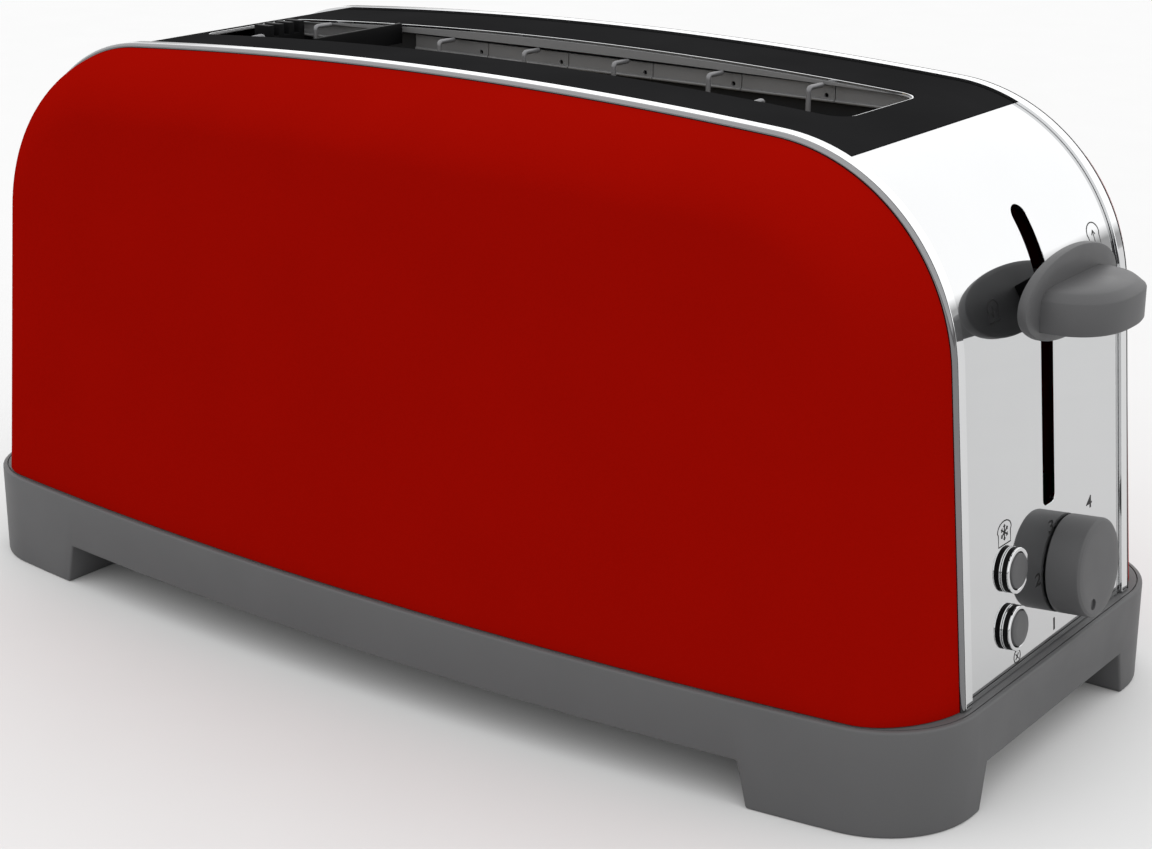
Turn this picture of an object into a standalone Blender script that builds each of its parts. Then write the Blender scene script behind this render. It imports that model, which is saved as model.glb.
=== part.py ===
"""Long slot pop up toaster, as an assembly of separate pieces. Metres, +Z up, X along the slot.

The lever and the dials are on the +X end. The parts hang from an empty, which puts the middle of
the whole assembly's footprint, lever included, on the world's origin.
"""

import math

import bmesh
import bpy
from mathutils import Matrix, Vector

MM = 0.001
GAP = 0.3 * MM  # between pieces that touch
CUT = 2 * MM  # how far a cutter runs past what it cuts

# Base moulding, and the plan shape that the painted sides share with it.
BASE_LENGTH = 390 * MM
BASE_WIDTH = 189 * MM
SIDE_BOW = 14 * MM  # how much narrower each long side is at its ends
BASE_CORNER = 31 * MM
BASE_HEIGHT = 32.4 * MM
FOOT_HEIGHT = 14.2 * MM
FOOT_LENGTH = 57.6 * MM  # along a long side, at the top of the foot
FOOT_WIDTH = 51 * MM  # along an end
FOOT_TAPER = 3.2 * MM
BASE_WALL = 3 * MM
DECK = 3 * MM
LEDGE = 2.0 * MM  # what the base stands out past the painted sides

# Arch: the outline of the body seen from the long side.
END_LEDGE = 3.1 * MM  # what the base stands out past the body's ends
BODY_LENGTH = BASE_LENGTH - 2 * END_LEDGE  # at the base
BODY_HEIGHT = 192 * MM
END_LEAN = math.radians(5)
ARCH_CORNER = 63 * MM
CROWN_RADIUS = 1800 * MM
BAND_WIDTH = 102 * MM  # between the two trims
TRIM_WIDTH = 5.5 * MM
TRIM_THICKNESS = 3 * MM
PANEL_INSET = 1.0 * MM
PANEL_THICKNESS = 1.4 * MM
END_PANEL_REACH = 46.9 * MM  # of each bright end, along X
TOP_LENGTH = BODY_LENGTH - 2 * END_PANEL_REACH  # the black panel between the two bright ends

# Painted sides.
SHELL_THICKNESS = 1.2 * MM
SHELL_INSET = 1.5 * MM
SHELL_ROLL = 21.5 * MM
ROLL_START = math.radians(15)  # the shell already slopes this much where it meets the trim
SHELL_LEAN = 0.042  # inward for each metre upward

# Bread slot.
SLOT_MARGIN = 17 * MM  # of the black panel past each end of the slot
SLOT_LENGTH = TOP_LENGTH - 2 * SLOT_MARGIN
SLOT_WIDTH = 47 * MM
SLOT_CORNER = 7 * MM
RIM_WALL = 1.0 * MM
RIM_PROUD = 0.8 * MM
RIM_HEIGHT = 1.2 * MM
COLLAR_BOTTOM = BODY_HEIGHT - 6.8 * MM
DIVIDER_X = 53 * MM - SLOT_LENGTH / 2
DIVIDER_THICKNESS = 1.5 * MM
DIVIDER_DEPTH = 42 * MM
DIVIDER_BOTTOM = BODY_HEIGHT - DIVIDER_DEPTH
DIVIDER_NECK_Z = COLLAR_BOTTOM - 2.7 * MM

# Chassis.
SHEET = 1.2 * MM
CHASSIS_LENGTH = SLOT_LENGTH + 1 * MM  # between the two end plates
CHASSIS_WIDTH = 76 * MM
CHASSIS_TOP = COLLAR_BOTTOM - 5.2 * MM
FOOT_FLANGE = 38 * MM
TOP_FLANGE = 26 * MM
TOP_FLANGE_Z = CHASSIS_TOP - 12 * MM
REFLECTOR_Y = SLOT_WIDTH / 2 + 1.7 * MM
REFLECTOR_TOP = COLLAR_BOTTOM - 0.6 * MM
REFLECTOR_HOLE = 1.0 * MM
REFLECTOR_HOLE_Z = REFLECTOR_TOP - 2.9 * MM
REFLECTOR_HOLE_PITCH = 33.85 * MM
REFLECTOR_HOLES = 5
CARD_Y = REFLECTOR_Y - 4.6 * MM
CARD_SHEET = 0.8 * MM
CARD_LOW, CARD_HIGH = BASE_HEIGHT + 15.6 * MM, CHASSIS_TOP - 4 * MM
CARD_LENGTH = CHASSIS_LENGTH - 7 * MM
WIRE_TURNS = 9
HEATER_WIRE = 0.5 * MM

# Bread guards.
GUARD_WIRE = 0.9 * MM
GUARD_RAIL = 1.2 * MM
GUARD_PITCH = 36.3 * MM
GUARD_FIRST_X = SLOT_LENGTH / 2 - 33.6 * MM
GUARD_EXTRA_X = 21 * MM - SLOT_LENGTH / 2
GUARD_COUNT = int((GUARD_FIRST_X - GUARD_EXTRA_X - 12 * MM) / GUARD_PITCH) + 1
GUARD_OUTER_Y = CARD_Y - 0.4 * MM
GUARD_INNER_Y, GUARD_FOOT_Y = GUARD_OUTER_Y - 7.2 * MM, GUARD_OUTER_Y - 4.7 * MM
GUARD_TOP_Z = COLLAR_BOTTOM + 0.8 * MM
GUARD_RAIL_Z, GUARD_FOOT_Z = GUARD_TOP_Z - 5 * MM, CARD_LOW + 14 * MM
GUARD_RAIL_LENGTH = SLOT_LENGTH - 10 * MM
GUARD_TRAVEL = 4 * MM  # inward, to hold the bread

# Carriage, its rods and its spring.
LEVER_Z = 140 * MM
LEVER_DROP = 55 * MM
LEVER_LIFT = 14 * MM
STEM_WIDTH, STEM_HEIGHT = 5.6 * MM, 9.6 * MM
LEVER_SLOT_WIDTH = 8.0 * MM
LEVER_Y = 1.5 * MM  # of the lever's slot and its arm
LEVER_SLOT_LOW = LEVER_Z - LEVER_DROP - STEM_HEIGHT / 2 - 3.2 * MM
LEVER_SLOT_HIGH = LEVER_Z + LEVER_LIFT + STEM_HEIGHT / 2 + 4.7 * MM
SLIDER_X = CHASSIS_LENGTH / 2 + 17.5 * MM
SLIDER_LENGTH, SLIDER_WIDTH, SLIDER_HEIGHT = 16 * MM, 40 * MM, 16 * MM
SLIDER_DROP = 4 * MM  # how far its middle is below the lever's
ROD_RADIUS = 2 * MM
ROD_Y = 12 * MM
ROD_CLEARANCE = 0.3 * MM
SPRING_RADIUS, SPRING_WIRE, SPRING_TURNS = 3.6 * MM, 0.5 * MM, 10
RACK_Z = LEVER_Z - 28 * MM
RACK_SHEET = 1.5 * MM
RACK_SPINE, RACK_WIDTH = 5 * MM, 14 * MM
RACK_PITCH, RACK_FINGER = 18 * MM, 5 * MM
RACK_LENGTH = SLOT_LENGTH - 16 * MM
RACK_ARM = 3 * MM

# Lever handle.
FLANGE_BACK_X = BODY_LENGTH / 2 - 4.0 * MM
FLANGE_THICKNESS = 3 * MM
FLANGE_WIDTH, FLANGE_HEIGHT = 60 * MM, 26 * MM
FLANGE_RISE = 1.5 * MM  # of its middle above the arm's
HANDLE_Y = -1.5 * MM
PADDLE_REACH, PADDLE_WIDTH, PADDLE_HEIGHT = 18.6 * MM, 42 * MM, 12.2 * MM
PADDLE_ROUND = 2.5  # exponent of the outline, 2 is an ellipse

# Holding magnet.
MAGNET_X, MAGNET_Y = SLIDER_X + 15 * MM, -14 * MM
MAGNET_SIZE = 10 * MM
COIL_WALL = 2.2 * MM
KEEPER_SHEET = 1.2 * MM
MAGNET_HEIGHT = 19.3 * MM

# Controls, placed on the panel: distance across it, and up it from the base.
KNOB_Y, KNOB_UP = 11.8 * MM, 22.6 * MM
KNOB_RADIUS, KNOB_LENGTH = 14.9 * MM, 10.6 * MM
KNOB_STANDOFF = 0.4 * MM
KNOB_INDEX_RADIUS, KNOB_INDEX_PLACE = 1.3 * MM, 11 * MM
KNOB_INDEX_ANGLE = math.radians(-115)
SHAFT_RADIUS = 3 * MM
SHAFT_TIP = 5 * MM
POT_SIZE, POT_DEPTH = 16 * MM, 7 * MM
BUTTON_Y = -24.2 * MM
BUTTONS = {"defrost": 32.0 * MM, "cancel": 14.6 * MM}
BUTTON_RADIUS = 5.2 * MM
BUTTON_PROUD = 3.0 * MM
BUTTON_TRAVEL = 2 * MM
BEZEL_RADIUS, BEZEL_HEIGHT = 6.7 * MM, 2.5 * MM
SWITCH_SIZE, SWITCH_DEPTH = 6 * MM, 5 * MM
BOARD_DEPTH = 16.3 * MM  # its front face, behind the panel's face
BOARD_SHEET = 1.6 * MM
BOARD_LOW, BOARD_HIGH = 3 * MM, 42 * MM
BOARD_LEFT, BOARD_RIGHT = -42 * MM, 34 * MM
HOLE_CLEARANCE = 0.4 * MM

# Crumb tray, below the deck.
WELL_LENGTH, WELL_WIDTH = SLOT_LENGTH - 16 * MM, 84 * MM
TRAY_WIDTH, TRAY_HEIGHT, TRAY_SHEET = 90 * MM, 9 * MM, 1 * MM
TRAY_END = WELL_LENGTH / 2 + 4 * MM
PLATE_SHEET = 1.2 * MM
PLATE_LOW = FOOT_HEIGHT + 0.4 * MM
TRAY_LOW = PLATE_LOW + PLATE_SHEET + 0.6 * MM
TRAY_HANDLE_THICKNESS = 3 * MM
TRAY_CLEARANCE = 0.5 * MM
VENT_COUNT, VENT_LENGTH, VENT_WIDTH, VENT_PITCH = 9, 46 * MM, 5 * MM, 24 * MM

# Fasteners, cord inlet, terminals.
SCREW_X, SCREW_Y = BASE_LENGTH / 2 - 45 * MM, BASE_WIDTH / 2 - 21 * MM
SCREW_RADIUS, SCREW_HEAD_RADIUS, SCREW_HEAD_HEIGHT = 1.6 * MM, 3.2 * MM, 1.6 * MM
SCREW_LENGTH = 10 * MM
BOSS_RADIUS = 4.5 * MM
GLAND_Y, GLAND_Z = 53 * MM, 23 * MM
GLAND_RADIUS, GLAND_BORE, GLAND_FLANGE, GLAND_PROUD = 4.4 * MM, 3.2 * MM, 6 * MM, 1.5 * MM
TERMINAL_SIZE = Vector((18, 34, 14)) * MM
TERMINAL_X = 37 * MM - BASE_LENGTH / 2
COMB_LENGTH, COMB_WIDTH = 7 * MM, 18 * MM
COMB_Y = 5.3 * MM
COMB_STEP = 6 * MM  # from the slot's end
COMB_HIGH = BODY_HEIGHT - 4 * MM
COMB_LOW, COMB_TOOTH_Z = COMB_HIGH - 14 * MM, COMB_HIGH - 4 * MM
COMB_FOOT = 4 * MM
COMB_TEETH = 4

HALF_LENGTH = BASE_LENGTH / 2
HALF_BAND = BAND_WIDTH / 2
DECK_TOP = BASE_HEIGHT
BODY_LOW = BASE_HEIGHT + GAP
SLIDER_LOW = LEVER_Z - SLIDER_DROP - SLIDER_HEIGHT / 2
MAGNET_LOW = BODY_LOW + SHEET + GAP
KEEPER_BOTTOM = MAGNET_LOW + MAGNET_HEIGHT + GAP + LEVER_DROP
FRONT_EXTREME = FLANGE_BACK_X + FLANGE_THICKNESS + PADDLE_REACH
BACK_EXTREME = HALF_LENGTH + GAP + GLAND_PROUD
CENTRE_SHIFT = (FRONT_EXTREME - BACK_EXTREME) / 2

RED = ((0.25, 0.004, 0.003, 1), 0.35, 0.0)
CHROME = ((0.82, 0.83, 0.84, 1), 0.08, 1.0)
STEEL = ((0.45, 0.45, 0.46, 1), 0.4, 1.0)
GREY = ((0.13, 0.13, 0.13, 1), 0.55, 0.0)
BLACK = ((0.015, 0.015, 0.016, 1), 0.35, 0.0)
MICA = ((0.55, 0.47, 0.32, 1), 0.6, 0.0)
COPPER = ((0.7, 0.32, 0.16, 1), 0.35, 1.0)
BOARD_GREEN = ((0.03, 0.16, 0.06, 1), 0.5, 0.0)


# ---------------------------------------------------------------- helpers


def clear_scene():
    for obj in list(bpy.data.objects):
        bpy.data.objects.remove(obj, do_unlink=True)


def new_collection(name):
    collection = bpy.data.collections.new(name)
    bpy.context.scene.collection.children.link(collection)
    return collection


def material(name, look):
    colour, roughness, metallic = look
    made = bpy.data.materials.new(name)
    made.use_nodes = True
    shader = made.node_tree.nodes["Principled BSDF"]
    shader.inputs["Base Color"].default_value = colour
    shader.inputs["Roughness"].default_value = roughness
    shader.inputs["Metallic"].default_value = metallic
    return made


def add(name, mesh, look=None, parent=None, matrix=None):
    """Link a mesh as a part, or as a hidden cutter where it has no look."""
    obj = bpy.data.objects.new(name, mesh)
    if look is None:
        CUTTERS.objects.link(obj)
        obj.hide_render = True
        obj.display_type = "WIRE"
    else:
        PARTS.objects.link(obj)
        obj.data.materials.append(material(name + "_material", look))
    obj.parent = parent or FRAME
    if matrix is not None:
        obj.matrix_local = matrix
    return obj


def mesh_of(name, bm):
    bmesh.ops.recalc_face_normals(bm, faces=bm.faces)
    mesh = bpy.data.meshes.new(name)
    bm.to_mesh(mesh)
    bm.free()
    return mesh


def box_mesh(name, low, high):
    low, high = Vector(low), Vector(high)
    bm = bmesh.new()
    bmesh.ops.create_cube(bm, size=1)
    bmesh.ops.scale(bm, vec=high - low, verts=bm.verts)
    bmesh.ops.translate(bm, vec=(low + high) / 2, verts=bm.verts)
    return mesh_of(name, bm)


def box(name, low, high, look=None, parent=None):
    return add(name, box_mesh(name, low, high), look, parent)


def prism(name, outline, axis, low, high, look=None, parent=None):
    """A closed outline of pairs, extruded along an axis. The pairs are the other two coordinates."""
    place = {"X": lambda p: (low, *p), "Y": lambda p: (p[0], low, p[1]), "Z": lambda p: (*p, low)}
    way = {"X": (1, 0, 0), "Y": (0, 1, 0), "Z": (0, 0, 1)}
    bm = bmesh.new()
    face = bm.faces.new([bm.verts.new(place[axis](p)) for p in outline])
    made = bmesh.ops.extrude_face_region(bm, geom=[face])
    top = [v for v in made["geom"] if isinstance(v, bmesh.types.BMVert)]
    bmesh.ops.translate(bm, vec=Vector(way[axis]) * (high - low), verts=top)
    return add(name, mesh_of(name, bm), look, parent)


def rod(name, radius, low, high, look=None, parent=None, segments=16):
    """A cylinder between two points."""
    low, high = Vector(low), Vector(high)
    bm = bmesh.new()
    turn = (high - low).to_track_quat("Z", "Y").to_matrix().to_4x4()
    matrix = Matrix.Translation((low + high) / 2) @ turn
    bmesh.ops.create_cone(
        bm, cap_ends=True, segments=segments, radius1=radius, radius2=radius,
        depth=(high - low).length, matrix=matrix,
    )
    mesh = mesh_of(name, bm)
    mesh.shade_smooth()
    mesh.set_sharp_from_angle(angle=math.radians(40))
    return add(name, mesh, look, parent)


def turned(name, profile, look=None, parent=None, matrix=None, steps=20):
    """A profile of (radius, height) pairs turned about its own Z."""
    mesh = bpy.data.meshes.new(name)
    edges = [(i, i + 1) for i in range(len(profile) - 1)]
    mesh.from_pydata([(r, 0, z) for r, z in profile], edges, [])
    obj = add(name, mesh, look, parent, matrix)
    screw = obj.modifiers.new("turn", "SCREW")
    screw.axis = "Z"
    screw.angle = 2 * math.pi
    screw.steps = screw.render_steps = steps
    screw.use_merge_vertices = True
    screw.merge_threshold = 0.01 * MM
    return obj


def wire_mesh(name, points, radius, sides=2):
    """A bent wire as a mesh with welded caps."""
    curve = bpy.data.curves.new(name, "CURVE")
    curve.dimensions = "3D"
    curve.bevel_depth = radius
    curve.bevel_resolution = sides
    curve.use_fill_caps = True
    spline = curve.splines.new("POLY")
    spline.points.add(len(points) - 1)
    for point, place in zip(spline.points, points):
        point.co = (*place, 1)
    guide = bpy.data.objects.new(name + "_guide", curve)
    CUTTERS.objects.link(guide)
    bpy.context.view_layer.update()
    graph = bpy.context.evaluated_depsgraph_get()
    mesh = bpy.data.meshes.new_from_object(guide.evaluated_get(graph))
    bpy.data.objects.remove(guide, do_unlink=True)
    bm = bmesh.new()
    bm.from_mesh(mesh)
    bmesh.ops.remove_doubles(bm, verts=bm.verts, dist=0.01 * MM)
    return mesh_of(name, bm)


def boolean(obj, other, operation="DIFFERENCE"):
    modifier = obj.modifiers.new(other.name, "BOOLEAN")
    modifier.operation = operation
    modifier.object = other
    modifier.solver = "EXACT"
    return obj


def arc(centre, radius, start, end, steps):
    turns = [start + (end - start) * i / steps for i in range(steps + 1)]
    return [(centre[0] + radius * math.cos(t), centre[1] + radius * math.sin(t)) for t in turns]


def mirrored(points):
    """The same points with x turned over, in the opposite order."""
    return [(-x, y) for x, y in reversed(points)]


# ---------------------------------------------------------------- outlines


def arch_corner_centre():
    """Where the corner arc, tangent to the leaning end and to the crown, has its centre."""
    along = Vector((-math.sin(END_LEAN), math.cos(END_LEAN)))
    out = Vector((math.cos(END_LEAN), math.sin(END_LEAN)))
    start = Vector((BODY_LENGTH / 2, BASE_HEIGHT)) - out * ARCH_CORNER
    from_crown = start - Vector((0, BODY_HEIGHT - CROWN_RADIUS))
    half = from_crown.dot(along)
    rest = from_crown.dot(from_crown) - (CROWN_RADIUS - ARCH_CORNER) ** 2
    return start + along * (math.sqrt(half * half - rest) - half)


def arch_end(inset, low, stop_x=None, steps=10):
    """The leaning end and its corner arc, from the height low up to the crown or to stop_x."""
    centre = arch_corner_centre()
    radius = ARCH_CORNER - inset
    tangent_x = centre.x + radius * math.cos(END_LEAN)
    tangent_z = centre.y + radius * math.sin(END_LEAN)
    foot_x = tangent_x + (tangent_z - low) * math.tan(END_LEAN)
    if stop_x is None:
        stop = math.atan2(centre.y - (BODY_HEIGHT - CROWN_RADIUS), centre.x)
    else:
        stop = math.acos((stop_x - centre.x) / radius)
    return [(foot_x, low)] + arc(centre, radius, END_LEAN, stop, steps)


def crown_height(x, inset=0.0):
    radius = CROWN_RADIUS - inset
    return BODY_HEIGHT - CROWN_RADIUS + math.sqrt(radius * radius - x * x)


def crown(inset, half_length, steps=12):
    """The crown from +half_length to -half_length, ends left out."""
    places = [half_length * (1 - 2 * i / steps) for i in range(1, steps)]
    return [(x, crown_height(x, inset)) for x in places]


def whole_arch(inset, low, steps=10):
    half = arch_end(inset, low, steps=steps)
    return half + crown(inset, half[-1][0]) + mirrored(half)


def top_arch(inset, half_length, steps=4):
    """The part of the arch between -half_length and +half_length, from the +X side over."""
    centre = arch_corner_centre()
    radius = ARCH_CORNER - inset
    start = math.acos((half_length - centre.x) / radius)
    stop = math.atan2(centre.y - (BODY_HEIGHT - CROWN_RADIUS), centre.x)
    half = arc(centre, radius, start, stop, steps)
    return half + crown(inset, half[-1][0]) + mirrored(half)


def side_width(x):
    """Half the base's width at x."""
    return BASE_WIDTH / 2 - SIDE_BOW * (x / HALF_LENGTH) ** 2


def plan(inset, steps=6, side_steps=6):
    """The base's bowed rectangle with round corners, drawn inward by inset."""
    radius = BASE_CORNER - inset
    centre_x = HALF_LENGTH - BASE_CORNER
    turn = math.pi / 2 - math.atan(2 * SIDE_BOW * centre_x / HALF_LENGTH**2)
    join_x = centre_x + BASE_CORNER * math.cos(turn)
    centre_y = side_width(join_x) - BASE_CORNER * math.sin(turn)
    corner = arc((centre_x, centre_y), radius, 0, turn, steps)
    reach = corner[-1][0]
    places = [reach * (1 - i / side_steps) for i in range(1, side_steps + 1)]
    quarter = corner + [(x, side_width(x) - inset) for x in places]
    half = quarter + mirrored(quarter)[1:]
    return half + [(x, -y) for x, y in reversed(half)]


def rounded_slot(half_x, half_y, radius, steps=4):
    corners = [(1, 1, 0), (-1, 1, 90), (-1, -1, 180), (1, -1, 270)]
    points = []
    for sx, sy, start in corners:
        centre = (sx * (half_x - radius), sy * (half_y - radius))
        begin = math.radians(start)
        points += arc(centre, radius, begin, begin + math.pi / 2, steps)
    return points


# ---------------------------------------------------------------- base and tray


def foot_gaps(name, spare=0.0):
    """Two crossing prisms that leave four feet standing. spare widens the prisms on each side."""
    x = HALF_LENGTH - FOOT_LENGTH + spare
    y = side_width(HALF_LENGTH - BASE_CORNER) - (FOOT_WIDTH - 12 * MM) + spare
    low = -CUT
    lower = FOOT_TAPER * (1 + CUT / FOOT_HEIGHT)
    long_gap = [(-x - lower, low), (x + lower, low), (x, FOOT_HEIGHT), (-x, FOOT_HEIGHT)]
    end_gap = [(-y - lower, low), (y + lower, low), (y, FOOT_HEIGHT), (-y, FOOT_HEIGHT)]
    across = prism(name + "_across", long_gap, "Y", -BASE_WIDTH, BASE_WIDTH)
    along = prism(name + "_along", end_gap, "X", -BASE_LENGTH, BASE_LENGTH)
    return across, along


def screw_places():
    return [(sx * SCREW_X, sy * SCREW_Y) for sx in (1, -1) for sy in (-1, 1)]


def make_base():
    base = prism("base", plan(0), "Z", 0, BASE_HEIGHT, GREY)
    for cutter in foot_gaps("foot_gap"):
        boolean(base, cutter)
    boolean(base, prism("base_inside", plan(BASE_WALL), "Z", FOOT_HEIGHT, BASE_HEIGHT - DECK))
    pocket = prism("foot_pockets", plan(BASE_WALL), "Z", BASE_WALL, FOOT_HEIGHT + MM)
    for cutter in foot_gaps("pocket_gap", BASE_WALL):
        boolean(pocket, cutter)
    boolean(base, pocket)
    well = (WELL_LENGTH / 2, WELL_WIDTH / 2)
    boolean(base, box("crumb_well", (-well[0], -well[1], DECK_TOP - 2 * DECK), (*well, DECK_TOP + CUT)))
    half_mouth, mouth_top = TRAY_WIDTH / 2 + TRAY_CLEARANCE, TRAY_LOW + TRAY_HEIGHT + TRAY_CLEARANCE
    boolean(base, box("tray_mouth", (-HALF_LENGTH - CUT, -half_mouth, FOOT_HEIGHT - CUT),
                      (-HALF_LENGTH + 2 * BASE_WALL, half_mouth, mouth_top)))
    hole = GLAND_RADIUS + HOLE_CLEARANCE
    boolean(base, rod("gland_hole", hole, (-HALF_LENGTH - CUT, GLAND_Y, GLAND_Z),
                      (-HALF_LENGTH + 2 * BASE_WALL, GLAND_Y, GLAND_Z)))
    for i, (x, y) in enumerate(screw_places()):
        low, top = PLATE_LOW + PLATE_SHEET + GAP, BASE_HEIGHT - DECK / 2
        boolean(base, rod(f"boss_{i}", BOSS_RADIUS, (x, y, low), (x, y, top)), "UNION")
        depth = PLATE_LOW + SCREW_LENGTH + MM
        boolean(base, rod(f"boss_bore_{i}", SCREW_RADIUS + GAP, (x, y, 0), (x, y, depth)))
        head = SCREW_HEAD_RADIUS + HOLE_CLEARANCE
        boolean(base, rod(f"screw_access_{i}", head, (x, y, -CUT), (x, y, FOOT_HEIGHT + MM)))


def make_bottom_plate():
    plate = prism("bottom_plate", plan(BASE_WALL + GAP), "Z", PLATE_LOW, PLATE_LOW + PLATE_SHEET, STEEL)
    for i in range(VENT_COUNT):
        x = (i - (VENT_COUNT - 1) / 2) * VENT_PITCH
        low = (x - VENT_WIDTH / 2, -VENT_LENGTH / 2, PLATE_LOW - CUT)
        high = (x + VENT_WIDTH / 2, VENT_LENGTH / 2, PLATE_LOW + PLATE_SHEET + CUT)
        boolean(plate, box(f"vent_{i}", low, high))
    for i, (x, y) in enumerate(screw_places()):
        low, high = PLATE_LOW - CUT, PLATE_LOW + PLATE_SHEET + CUT
        boolean(plate, rod(f"plate_hole_{i}", SCREW_RADIUS + GAP, (x, y, low), (x, y, high)))


def make_screws():
    head_top = PLATE_LOW - GAP
    profile = [
        (0, SCREW_LENGTH), (SCREW_RADIUS, SCREW_LENGTH - SCREW_RADIUS / 2), (SCREW_RADIUS, 0),
        (SCREW_HEAD_RADIUS, 0), (SCREW_HEAD_RADIUS * 0.8, -SCREW_HEAD_HEIGHT), (0, -SCREW_HEAD_HEIGHT),
    ]
    for i, (x, y) in enumerate(screw_places()):
        place = Matrix.Translation((x, y, head_top))
        turned(f"base_screw_{i + 1}", profile, STEEL, matrix=place, steps=12)


def make_crumb_tray():
    half = TRAY_WIDTH / 2
    low = (-HALF_LENGTH + TRAY_HANDLE_THICKNESS + GAP, -half, TRAY_LOW)
    high = (TRAY_END, half, TRAY_LOW + TRAY_HEIGHT)
    tray = box("crumb_tray", low, high, STEEL)
    inner_low = Vector(low) + Vector((1, 1, 1)) * TRAY_SHEET
    inner_high = Vector(high) - Vector((1, 1, 0)) * TRAY_SHEET + Vector((0, 0, CUT))
    boolean(tray, box("tray_inside", inner_low, inner_high))
    handle_low = (-HALF_LENGTH, -half, TRAY_LOW)
    handle_high = (-HALF_LENGTH + TRAY_HANDLE_THICKNESS, half, TRAY_LOW + TRAY_HEIGHT)
    handle = box("crumb_tray_handle", handle_low, handle_high, GREY)
    notch = rod("tray_grip", TRAY_HEIGHT, (-HALF_LENGTH - TRAY_HEIGHT * 0.72, -half / 2, TRAY_LOW),
                (-HALF_LENGTH - TRAY_HEIGHT * 0.72, half / 2, TRAY_LOW), segments=24)
    boolean(handle, notch)


# ---------------------------------------------------------------- painted sides and bright band


def side_depth(x, z):
    """How far the painted side stands from the middle plane, at its full depth."""
    return side_width(x) - LEDGE - (z - BASE_HEIGHT) * SHELL_LEAN


def side_point(x, z, turn):
    join = HALF_BAND + TRIM_WIDTH + GAP
    share = (math.sin(turn) - math.sin(ROLL_START)) / (1 - math.sin(ROLL_START))
    return (x, -(join + (side_depth(x, z) - join) * share), z)


def side_rows(roll_steps=6, face_steps=3):
    """Rows of points from the trim round the rolled edge, and then across the side to its bottom line."""
    rows = []
    for i in range(roll_steps + 1):
        turn = ROLL_START + (math.pi / 2 - ROLL_START) * i / roll_steps
        inset = SHELL_INSET + SHELL_ROLL * (1 - math.cos(turn) / math.cos(ROLL_START))
        rows.append([side_point(x, z, turn) for x, z in whole_arch(inset, BODY_LOW, 9)])
    edge = rows[-1]
    reach = edge[0][0] * 0.75
    for k in range(1, face_steps + 1):
        share = k / face_steps
        row = []
        for i, (x, _, z) in enumerate(edge):
            target = reach * (1 - 2 * i / (len(edge) - 1))
            px, pz = x + (target - x) * share, z + (BODY_LOW - z) * share
            row.append(side_point(px, pz, math.pi / 2))
        rows.append(row)
    return rows


def make_shell(name, side):
    rows = side_rows()
    bm = bmesh.new()
    grid = [[bm.verts.new((x, y * side, z)) for x, y, z in row] for row in rows]
    for upper, lower in zip(grid, grid[1:]):
        for a, b, c, d in zip(upper, upper[1:], lower[1:], lower):
            bm.faces.new((a, b, c, d) if side > 0 else (d, c, b, a))
    mesh = bpy.data.meshes.new(name)
    bm.to_mesh(mesh)
    bm.free()
    mesh.shade_smooth()
    shell = add(name, mesh, RED)
    solidify = shell.modifiers.new("sheet", "SOLIDIFY")
    solidify.thickness = SHELL_THICKNESS
    solidify.offset = -1
    reach = Vector((BASE_LENGTH, BASE_WIDTH, BODY_LOW))
    boolean(shell, box(name + "_bottom", (-reach.x, -reach.y, 0), reach))
    join = HALF_BAND + TRIM_WIDTH + GAP
    boolean(shell, box(name + "_edge", (-reach.x, -join, 0), (reach.x, join, BODY_HEIGHT + CUT)))


def make_trim(name, side):
    outline = whole_arch(0, BODY_LOW) + list(reversed(whole_arch(TRIM_THICKNESS, BODY_LOW)))
    ends = sorted((side * HALF_BAND, side * (HALF_BAND + TRIM_WIDTH)))
    prism(name, outline, "Y", *ends, CHROME)


def make_end_panel(name, side, look):
    stop = TOP_LENGTH / 2 + GAP / 2
    outer = arch_end(PANEL_INSET, BODY_LOW, stop)
    inner = arch_end(PANEL_INSET + PANEL_THICKNESS, BODY_LOW, stop)
    outline = [(side * x, z) for x, z in outer + list(reversed(inner))]
    return prism(name, outline, "Y", -HALF_BAND + GAP, HALF_BAND - GAP, look)


def make_control_panel():
    panel = make_end_panel("control_panel", 1, CHROME)
    width = LEVER_SLOT_WIDTH / 2
    middle = (LEVER_SLOT_LOW + LEVER_SLOT_HIGH) / 2
    reach = (LEVER_SLOT_HIGH - LEVER_SLOT_LOW) / 2
    outline = [(LEVER_Y + y, middle + z) for y, z in rounded_slot(width, reach, width * 0.98)]
    boolean(panel, prism("lever_slot", outline, "X", TOP_LENGTH / 2 + CUT, BASE_LENGTH))
    holes = [("knob_hole", KNOB_Y, KNOB_UP, SHAFT_RADIUS)]
    holes += [(name + "_hole", BUTTON_Y, up, BUTTON_RADIUS) for name, up in BUTTONS.items()]
    for name, y, up, radius in holes:
        size = radius + HOLE_CLEARANCE
        boolean(panel, rod(name, size, (-5 * MM, y, up), (5 * MM, y, up), parent=PANEL, segments=24))


def make_top_panel():
    half = TOP_LENGTH / 2 - GAP / 2
    outer = top_arch(PANEL_INSET, half)
    inner = top_arch(PANEL_INSET + PANEL_THICKNESS, half)
    panel = prism("top_panel", outer + list(reversed(inner)), "Y", -HALF_BAND + GAP, HALF_BAND - GAP, BLACK)
    hole = rounded_slot(SLOT_LENGTH / 2, SLOT_WIDTH / 2, SLOT_CORNER)
    boolean(panel, prism("slot_hole", hole, "Z", CHASSIS_TOP - 20 * MM, BODY_HEIGHT + CUT))


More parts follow.
